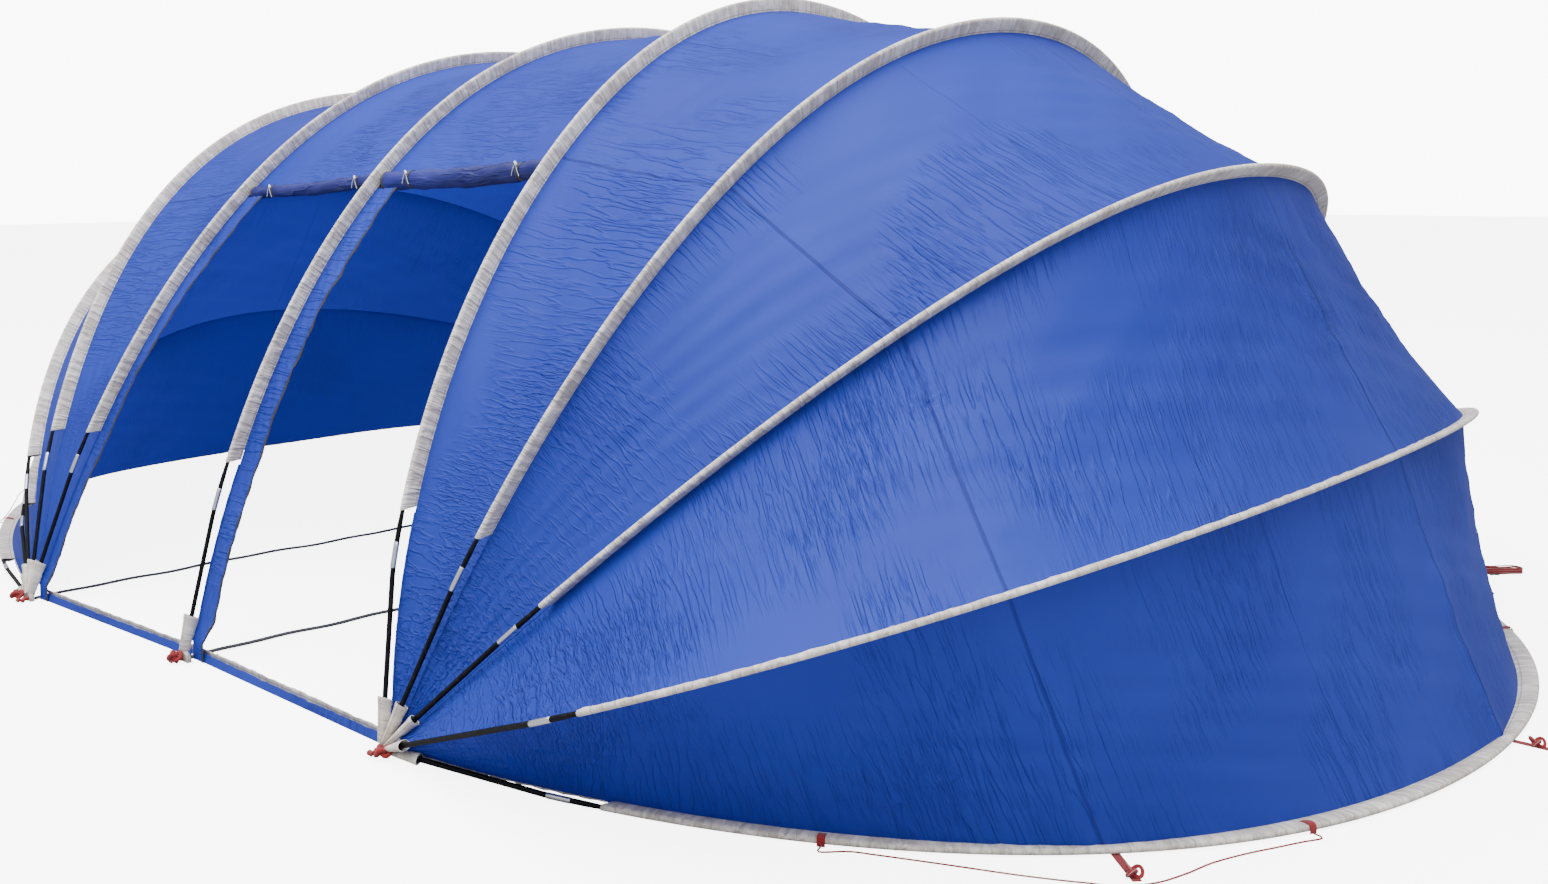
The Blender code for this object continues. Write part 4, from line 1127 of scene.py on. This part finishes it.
def tie(side, number, axis, radius):
    """A strap round the roll with a toggle, and the thin cord that holds the toggle."""
    start, end, square = axis
    share = TIE_PLACES[number]
    half = TIE_WIDTH / 2 / np.linalg.norm(end - start)

    def place(across, along):
        shift, lift = TIE_PROFILE[index_of(along, len(TIE_PROFILE))].T
        spot = share + shift * half
        rim = roll_surface(*axis, radius, across * 2 * np.pi, spot, np.ones(len(across)))
        centre = start + (end - start) * spot[:, None]
        return rim + unit(rim - centre) * (0.0002 + lift * TIE_THICKNESS * 0.8)[:, None]

    band = shaped_grid(f"roll_strap_{side}_{number}", len(TIE_PROFILE) - 1, 40, place, BLACK_WEBBING,
                       tubular=True)
    scale_uv(band, 2 * math.pi * radius, 0.02)
    finish_piece(band, "black_webbing")
    along = unit(end - start)
    outward = unit(np.cross(along, square))
    outward = outward if outward[1] < 0 else -outward
    centre = start + (end - start) * share + outward * (radius + TOGGLE_OUT) + square * TOGGLE_DOWN
    length_way = unit(along + square * 0.8) * TOGGLE_LENGTH
    line = [centre + length_way * t for t in np.linspace(-0.5, 0.5, len(TOGGLE_RADII))]
    toggle = tube(f"roll_toggle_{side}_{number}", line, TOGGLE_RADII, 14, WHITE_PLASTIC)
    finish_piece(toggle, "black_slider")
    strings = []
    for lean in (-0.5, 0.35):
        hang = unit(along * lean - UP)
        line = [centre + hang * t + outward * 0.004 * math.sin(t * 60)
                for t in np.linspace(0, STRING_LENGTH, 8)]
        strings.append(tube(f"roll_string_{side}_{number}", line, STRING_RADIUS, 6, WHITE_PLASTIC))
    finish_piece(join(strings), "red_rope")


for side, near, far in BAYS:
    radius = ROLL_RADII[side]
    axis = roll_axis(near, far, radius)
    edge = ROLL_ZIP_WIDTH / float(np.linalg.norm(axis[1] - axis[0]))
    door, flat = rolled_sheet("rolled_cloth_" + side, axis, radius, (edge, 1 - edge), ROLL_COLUMNS, BLUE_DOOR)
    mark(door, from_seam=FAR_FROM_SEAMS, from_sleeve=FAR_FROM_SEAMS)
    tapes = []
    for ends in ((0.0, edge), (1 - edge, 1.0)):
        tape, tape_flat = rolled_sheet("rolled_zip_" + side, axis, radius, ends, 3, ZIP)
        scale_uv(tape, *tape_flat)
        tapes.append(tape)
    tape = join(tapes)
    thicken(tape, ROLL_ZIP_SKIN)
    finish_piece(tape, "black_zip")
    finish_sheet(door, flat, (1.08, 1.05), "blue_door_cloth", "rolled_door_" + side,
                 ["bay_panel_" + side], ROLL_SKIN)
    for number in range(len(TIE_PLACES)):
        tie(side, number, axis, radius)
    print("door", side, "unrolls to", [round(v, 2) for v in flat], "m")

# %% [markdown]
# ## The feet
# At a foot the poles of one side stand in sewn pockets that fan out of a single root. A pocket is a
# short tapered tube of the sleeve cloth with a turned hem at its mouth, pressed flat towards the root.

# %% Pockets and roots
POCKET_START, POCKET_ROWS, POCKET_SIDES, POCKET_SKIN = 0.020, 26, 40, 0.0016
POCKET_BROAD, POCKET_THIN = (0.0175, 0.0245), (0.0045, 0.0155)
POCKET_GIRTH, MIDDLE_BROADNESS = 2 * math.pi * 0.017, 1.25
POCKET_HEM, POCKET_CREASE, POCKET_CRUMPLE, MOUTH_SLANT = 0.0011, 0.0012, 0.0007, 0.008
ROOT_REACH, ROOT_HALF_DEPTH, ROOT_BEVEL = 0.045, 0.012, 0.0035
STRAP_WIDTH, TAB_LENGTH, TAB_HEIGHTS, TAB_WAVE = 0.025, 0.055, (0.0008, 0.012), 0.012
STRAP_PROFILE = np.array([(-1, 0.5), (-0.96, 1), (-0.5, 1), (0, 1), (0.5, 1), (0.96, 1), (1, 0.5), (0.96, 0),
                          (0.5, 0), (0, 0), (-0.5, 0), (-0.96, 0), (-1, 0.5)])


def pocket(arch, back):
    """The cloth tube round the lower end of one pole."""
    reaches = np.array([POLE_SEAT, arch.ferrule[0]])
    seat, joint = arch.line(arch.angle(arch.length - reaches if back else reaches))
    direction = unit(joint - seat)
    broad = unit(np.cross(direction, arch.across))
    thin = np.cross(direction, broad)
    reach = POCKET_TOP - POCKET_START
    broadness = MIDDLE_BROADNESS if arch is MIDDLE else 1.0
    seed = arch.foot_x * 7 + (3 if back else 0) + arch.rise * 11

    def place(across, along):
        turn = 2 * np.pi * across
        run = along * reach
        half = broadness * np.interp(along, (0, 1), POCKET_BROAD)
        thick = np.interp(along ** 0.7, (0, 1), POCKET_THIN)
        crease = POCKET_CREASE * np.sin(3 * turn + seed + along * 3) * np.sin(np.pi * along)
        crease += POCKET_CRUMPLE * sway(turn + run * 60, run * 90 + seed)
        relief = POCKET_HEM * (along > 0.86) + crease * np.sin(turn / 2) ** 2 * 2
        climb = run - POLE_SEAT + POCKET_START + MOUTH_SLANT * np.cos(turn) * along
        point = seat + direction * climb[:, None]
        point = point + broad * ((half + relief) * np.cos(turn))[:, None]
        point = point + thin * ((thick + relief) * np.sin(turn))[:, None]
        point[:, 2] = np.maximum(point[:, 2], 0.0012)
        return point

    piece = shaped_grid("pocket", POCKET_ROWS, POCKET_SIDES, place, POCKET_CLOTH, tubular=True)
    scale_uv(piece, POCKET_GIRTH, reach)
    thicken(piece, POCKET_SKIN, offset=-1.0)
    return piece


def root(arch, back):
    """The sewn root: a small folded block of cloth, flat on the ground."""
    bow = [(ROOT_REACH * math.cos(a) * 0.9, 0.001 + ROOT_REACH * math.sin(a) * 0.8)
           for a in np.radians((0, 25, 50, 75, 97))]
    outline = [(-ROOT_REACH / 2, 0.001), *bow, (-ROOT_REACH / 2, 0.016)]
    bpy.ops.object.select_all(action="DESELECT")
    bpy.ops.mesh.primitive_circle_add(vertices=len(outline), radius=1, fill_type="NGON")
    piece = bpy.context.object
    half_depth = ROOT_HALF_DEPTH * 0.8
    for vertex, (x, z) in zip(piece.data.vertices, outline):
        vertex.co = arch.foot(back) + (arch.side * x, -half_depth, z)
    piece.data.materials.append(POCKET_CLOTH)
    bpy.ops.object.mode_set(mode="EDIT")
    bpy.ops.mesh.select_all(action="SELECT")
    bpy.ops.mesh.extrude_region_move(TRANSFORM_OT_translate={"value": (0, 2 * half_depth, 0)})
    bpy.ops.mesh.select_all(action="SELECT")
    bpy.ops.mesh.normals_make_consistent(inside=False)
    bpy.ops.mesh.bevel(offset=ROOT_BEVEL, segments=3, affect="EDGES")
    bpy.ops.object.mode_set(mode="OBJECT")
    return piece


def strap(name, line, heights, material, wave=0.0):
    """Webbing that lies along a line on the ground, with rounded edges."""
    line = np.asarray(line, float)
    beside = unit(np.cross(unit(np.gradient(line, axis=0)), UP)) * STRAP_WIDTH / 2

    def place(across, along):
        row = index_of(along, len(line))
        side, lift = STRAP_PROFILE[index_of(across, len(STRAP_PROFILE))].T
        rise = wave * (1 + np.sin(row * 0.55) * np.cos(row * 0.21)) * 0.5
        height = np.interp(lift, (0, 1), heights) + rise
        return line[row] + beside[row] * side[:, None] + UP * height[:, None]

    piece = shaped_grid(name, len(line) - 1, len(STRAP_PROFILE) - 1, place, material, capped=True)
    scale_uv(piece, 2 * STRAP_WIDTH, float(step_lengths(line).sum()))
    return piece


FEET = (("left", LEFT), ("middle", [MIDDLE]), ("right", RIGHT))
for side, arches in FEET:
    for end, back in (("front", False), ("back", True)):
        pockets = join([*(pocket(arch, back) for arch in arches), root(arches[0], back)])
        pockets.name = f"pockets_{end}_{side}"
        finish_piece(pockets, "grey_sleeve_cloth", f"foot_{end}_{side}", smooth=50)
        outward = DEPTH if back else -DEPTH
        foot = arches[0].foot(back)
        line = [foot + outward * reach for reach in np.linspace(0, TAB_LENGTH, 24)]
        tab = strap(f"peg_tab_{end}_{side}", line, TAB_HEIGHTS, RED_WEBBING, TAB_WAVE)
        finish_piece(tab, None)
print("feet:", 2 * len(FEET))

# %% [markdown]
# ## Red knots
# A short end of red webbing is knotted at each front foot, and the tips of two peg straps carry a knot of
# cord. A trefoil is the simplest line that is really knotted, so each knot is a tube along one.

# %% Knots
KNOT_SIDES, KNOT_STEPS = 10, 60
FOOT_KNOT_PLACE, FOOT_KNOT_SIZE, FOOT_KNOT_RADIUS = (0.045, -0.036, 0.028), 0.024, 0.0072
STRAP_KNOT_REACHES, STRAP_KNOT_HEIGHT = (0.115, 0.065), 0.0155
STRAP_KNOT_SIZE, STRAP_KNOT_RADIUS = 0.022, 0.005


def knot(name, centre, size, radius, material, slot):
    turn = np.linspace(0, 2 * np.pi, KNOT_STEPS, endpoint=False)
    trefoil = np.stack([np.sin(turn) + 2 * np.sin(2 * turn), np.cos(turn) - 2 * np.cos(2 * turn),
                        -1.3 * np.sin(3 * turn)], axis=1)
    finish_piece(tube(name, centre + trefoil * size / 3, radius, KNOT_SIDES, material), slot)


for side, arches in FEET:
    away = np.array([np.sign(arches[0].foot_x), 1.0, 1.0])
    centre = arches[0].foot() + away * FOOT_KNOT_PLACE
    knot("foot_knot_" + side, centre, FOOT_KNOT_SIZE, FOOT_KNOT_RADIUS, RED_WEBBING, None)
for number, reach in enumerate(STRAP_KNOT_REACHES):
    place, outward = base_place(RIGHT[-1], CORNER_ANGLES[number])
    centre = place + outward * reach + UP * STRAP_KNOT_HEIGHT
    knot(f"strap_knot_{number}", centre, STRAP_KNOT_SIZE, STRAP_KNOT_RADIUS, ROPE, "red_rope")
print("knots:", len(FEET) + len(STRAP_KNOT_REACHES))

# %% [markdown]
# ## Webbing round the base
# Three red straps point outwards from under each base sleeve, and three red loops go over it, for the
# guy ropes. Black webbing on the ground ties each front foot to the back foot behind it.

# %% Straps and loops
PEG_STRAP_UNDER, PEG_STRAP_HEIGHTS = 0.015, (0.0004, 0.003)
GROUND_STRAP_HEIGHTS, GROUND_STRAP_WAVE = (0.0002, 0.006), 0.008
LOOP_WIDTH, LOOP_LENGTH, LOOP_SKIN = 0.022, 0.07, 0.0012
LOOP_TOP = BASE_HEIGHT + 0.0115
LOOP_SECTION = smooth_route([
    (SLEEVE_FRONT + 0.0012, 0.001, 0), (SLEEVE_FRONT + 0.0018, 0.012, 0),
    (SLEEVE_FRONT - 0.002, LOOP_TOP - 0.001, 0), (0.0, LOOP_TOP + 0.0016, 0), (-0.012, LOOP_TOP, 0),
    (-0.024, LOOP_TOP - 0.0045, 0), (-0.036, LOOP_TOP - 0.0085, 0)], 0.003)
STRAP_SLACKS = {"left": (0.18, 1), "middle": (0.16, 2), "right": (0.18, 1)}
STRAP_ROWS = 120


def loop_over_sleeve(arch, degrees):
    """A webbing band over the base sleeve, from the ground outside to the cloth inside."""
    place, outward = base_place(arch, degrees)
    beside = np.cross(UP, outward)

    def place_band(across, along):
        out, height = LOOP_SECTION[index_of(along, len(LOOP_SECTION)), :2].T
        side = (across - 0.5) * LOOP_WIDTH
        return place + outward * out[:, None] + UP * height[:, None] + beside * side[:, None]

    piece = shaped_grid("loop", len(LOOP_SECTION) - 1, 6, place_band, RED_WEBBING)
    scale_uv(piece, LOOP_WIDTH, LOOP_LENGTH)
    thicken(piece, LOOP_SKIN)
    return piece


for side, arch in (("left", LEFT[-1]), ("right", RIGHT[-1])):
    for number, degrees in enumerate(CORNER_ANGLES):
        place, outward = base_place(arch, degrees)
        line = [place + outward * reach for reach in np.linspace(-PEG_STRAP_UNDER, PEG_STRAP_LENGTH, 36)]
        finish_piece(strap(f"peg_strap_{side}_{number}", line, PEG_STRAP_HEIGHTS, RED_WEBBING), None)
    loops = join([loop_over_sleeve(arch, degrees) for degrees in LOOP_ANGLES[side]])
    loops.name = "rope_loops_" + side
    finish_piece(loops, None)

share = np.linspace(0, 1, STRAP_ROWS)[:, None]
inset = DEPTH * (ROOT_HALF_DEPTH + 2 * CLEARANCE)
for side, arches in FEET:
    slack, bends = STRAP_SLACKS[side]
    front, back = arches[0].foot() + inset, arches[0].foot(back=True) - inset
    aside = slack * np.sin(np.pi * share) * np.sin(np.pi * bends * share)
    line = front + (back - front) * share + aside * (1.0, 0.0, 0.0)
    ground_strap = strap("webbing_" + side, line, GROUND_STRAP_HEIGHTS, BLACK_WEBBING, GROUND_STRAP_WAVE)
    finish_piece(ground_strap, "black_webbing", "ground_strap_" + side)

# %% [markdown]
# ## The sills
# A low strip of the blue cloth crosses the foot of each doorway. Behind it a pale flap lies on the
# ground. Both are a little slack, so their edges wander.

# %% Sills and flaps
SILL_HEIGHT, SILL_LEAN, SILL_END_GAP = 0.028, 0.010, 0.020
SILL_FROM_SLEEVE, SILL_FROM_SEAM = 0.02, 0.03
FLAP_WIDTH, FLAP_ABOVE_SILL = 0.075, 0.012
SILL_ROWS = 110


def sill_line(near, far):
    """Ends of a sill on the ground, just behind the cloth edges of its doorway, and its inward direction."""
    start, end = (beside_seam(arch, other, AT_FOOT, JOINT_GAP + CLOTH)[0] * (1, 1, 0)
                  for arch, other in ((near, far), (far, near)))
    direction = unit(end - start)
    inner = np.array([-direction[1], direction[0], 0.0])
    shift = inner * (2 * JOINT_GAP - SILL_LEAN * CLOTH / SILL_HEIGHT)
    return start + direction * SILL_END_GAP + shift, end - direction * SILL_END_GAP + shift, inner


for side, near, far in BAYS:
    first, last, inner = sill_line(near, far)
    length = float(np.linalg.norm(last - first))

    def sill_place(across, along):
        run = along * length
        wave = 0.0022 * sway(run * 11, run * 23) * across
        droop = 0.003 * np.sin(np.pi * along) ** 2 * across
        aside = inner * (CLOTH / 2 + SILL_LEAN * across + wave)[:, None]
        height = 0.0008 + SILL_HEIGHT * across - droop + 0.0012 * across * sway(run * 19, run * 31)
        return first + (last - first) * along[:, None] + aside + UP * height[:, None]

    def flap_place(across, along):
        run = along * length
        edge = 0.004 * sway(run * 6, run * 13) * across
        climb = np.maximum(1 - across * 4, 0) ** 0.7
        lean = CLOTH / 2 + 0.002 + (SILL_LEAN + 0.004) * climb
        aside = inner * (lean + FLAP_WIDTH * across + edge)[:, None]
        rise = 0.0009 + 0.0016 * across * (1 + sway(run * 14 + across * 5, run * 27)) * (1 - across * 0.4)
        rise += (SILL_HEIGHT + FLAP_ABOVE_SILL + 0.002 * sway(run * 9, run * 21)) * climb
        return first + (last - first) * along[:, None] + aside + UP * rise[:, None]

    sill = shaped_grid("sill_" + side, SILL_ROWS, 8, sill_place, BLUE)
    mark(sill, from_sleeve=SILL_FROM_SLEEVE, from_seam=SILL_FROM_SEAM)
    finish_sheet(sill, (SILL_HEIGHT, length), (1.15, 1.05), "blue_cloth", "door_sill_" + side,
                 ["foot_front_middle"])
    flap = shaped_grid("flap_" + side, SILL_ROWS, 16, flap_place, GREY)
    finish_sheet(flap, (FLAP_WIDTH, length), (1.9, 1.05), "grey_sleeve_cloth", "ground_flap_" + side,
                 ["foot_front_middle"])
print("sills and flaps: 2 bays")

# %% [markdown]
# ## Floor and light
# The picture was taken under a cloudy sky: light falls from above, and little comes back from the
# ground. A wide soft light hangs over the tent. The floor and the sky are white where the camera sees
# them, but add only a little light of their own, so the low panels stay deeper in colour than the top.

# %% Stage
SKY_SEEN, SKY_LIGHT, FLOOR_LIGHT = 10.0, 0.9, 6.0
OVERHEAD_PLACE, OVERHEAD_POWER, OVERHEAD_SIZE = Vector((1.0, -3.0, 9.0)), 2300.0, 12.0

bpy.ops.object.select_all(action="DESELECT")
bpy.ops.mesh.primitive_plane_add(size=120, location=(0, 0, -0.0005))
floor = bpy.context.object
floor.name = "pale_floor"
floor_paint = Paint("pale_floor_paint", Roughness=0.9, Emission_Strength=FLOOR_LIGHT)
seen = floor_paint.node("ShaderNodeLightPath", output="Is Camera Ray")
floor_paint.set(Base_Color=floor_paint.blend(seen, (0.38, 0.38, 0.38, 1), (0.95, 0.95, 0.95, 1)),
                Emission_Color=floor_paint.blend(seen, (0, 0, 0, 1), (1, 1, 1, 1)))
floor.data.materials.append(floor_paint.material)

world = bpy.data.worlds.new("white_sky")
world.use_nodes = True
nodes, links = world.node_tree.nodes, world.node_tree.links
path = nodes.new("ShaderNodeLightPath")
strength = nodes.new("ShaderNodeMapRange")
strength.inputs["To Min"].default_value, strength.inputs["To Max"].default_value = SKY_LIGHT, SKY_SEEN
links.new(path.outputs["Is Camera Ray"], strength.inputs["Value"])
links.new(strength.outputs["Result"], nodes["Background"].inputs["Strength"])
nodes["Background"].inputs["Color"].default_value = (1.0, 1.0, 1.0, 1.0)
bpy.context.scene.world = world

bpy.ops.object.light_add(type="AREA", location=OVERHEAD_PLACE)
overhead = bpy.context.object
overhead.data.energy, overhead.data.size = OVERHEAD_POWER, OVERHEAD_SIZE
overhead.rotation_euler = (-OVERHEAD_PLACE).to_track_quat("-Z", "Y").to_euler()
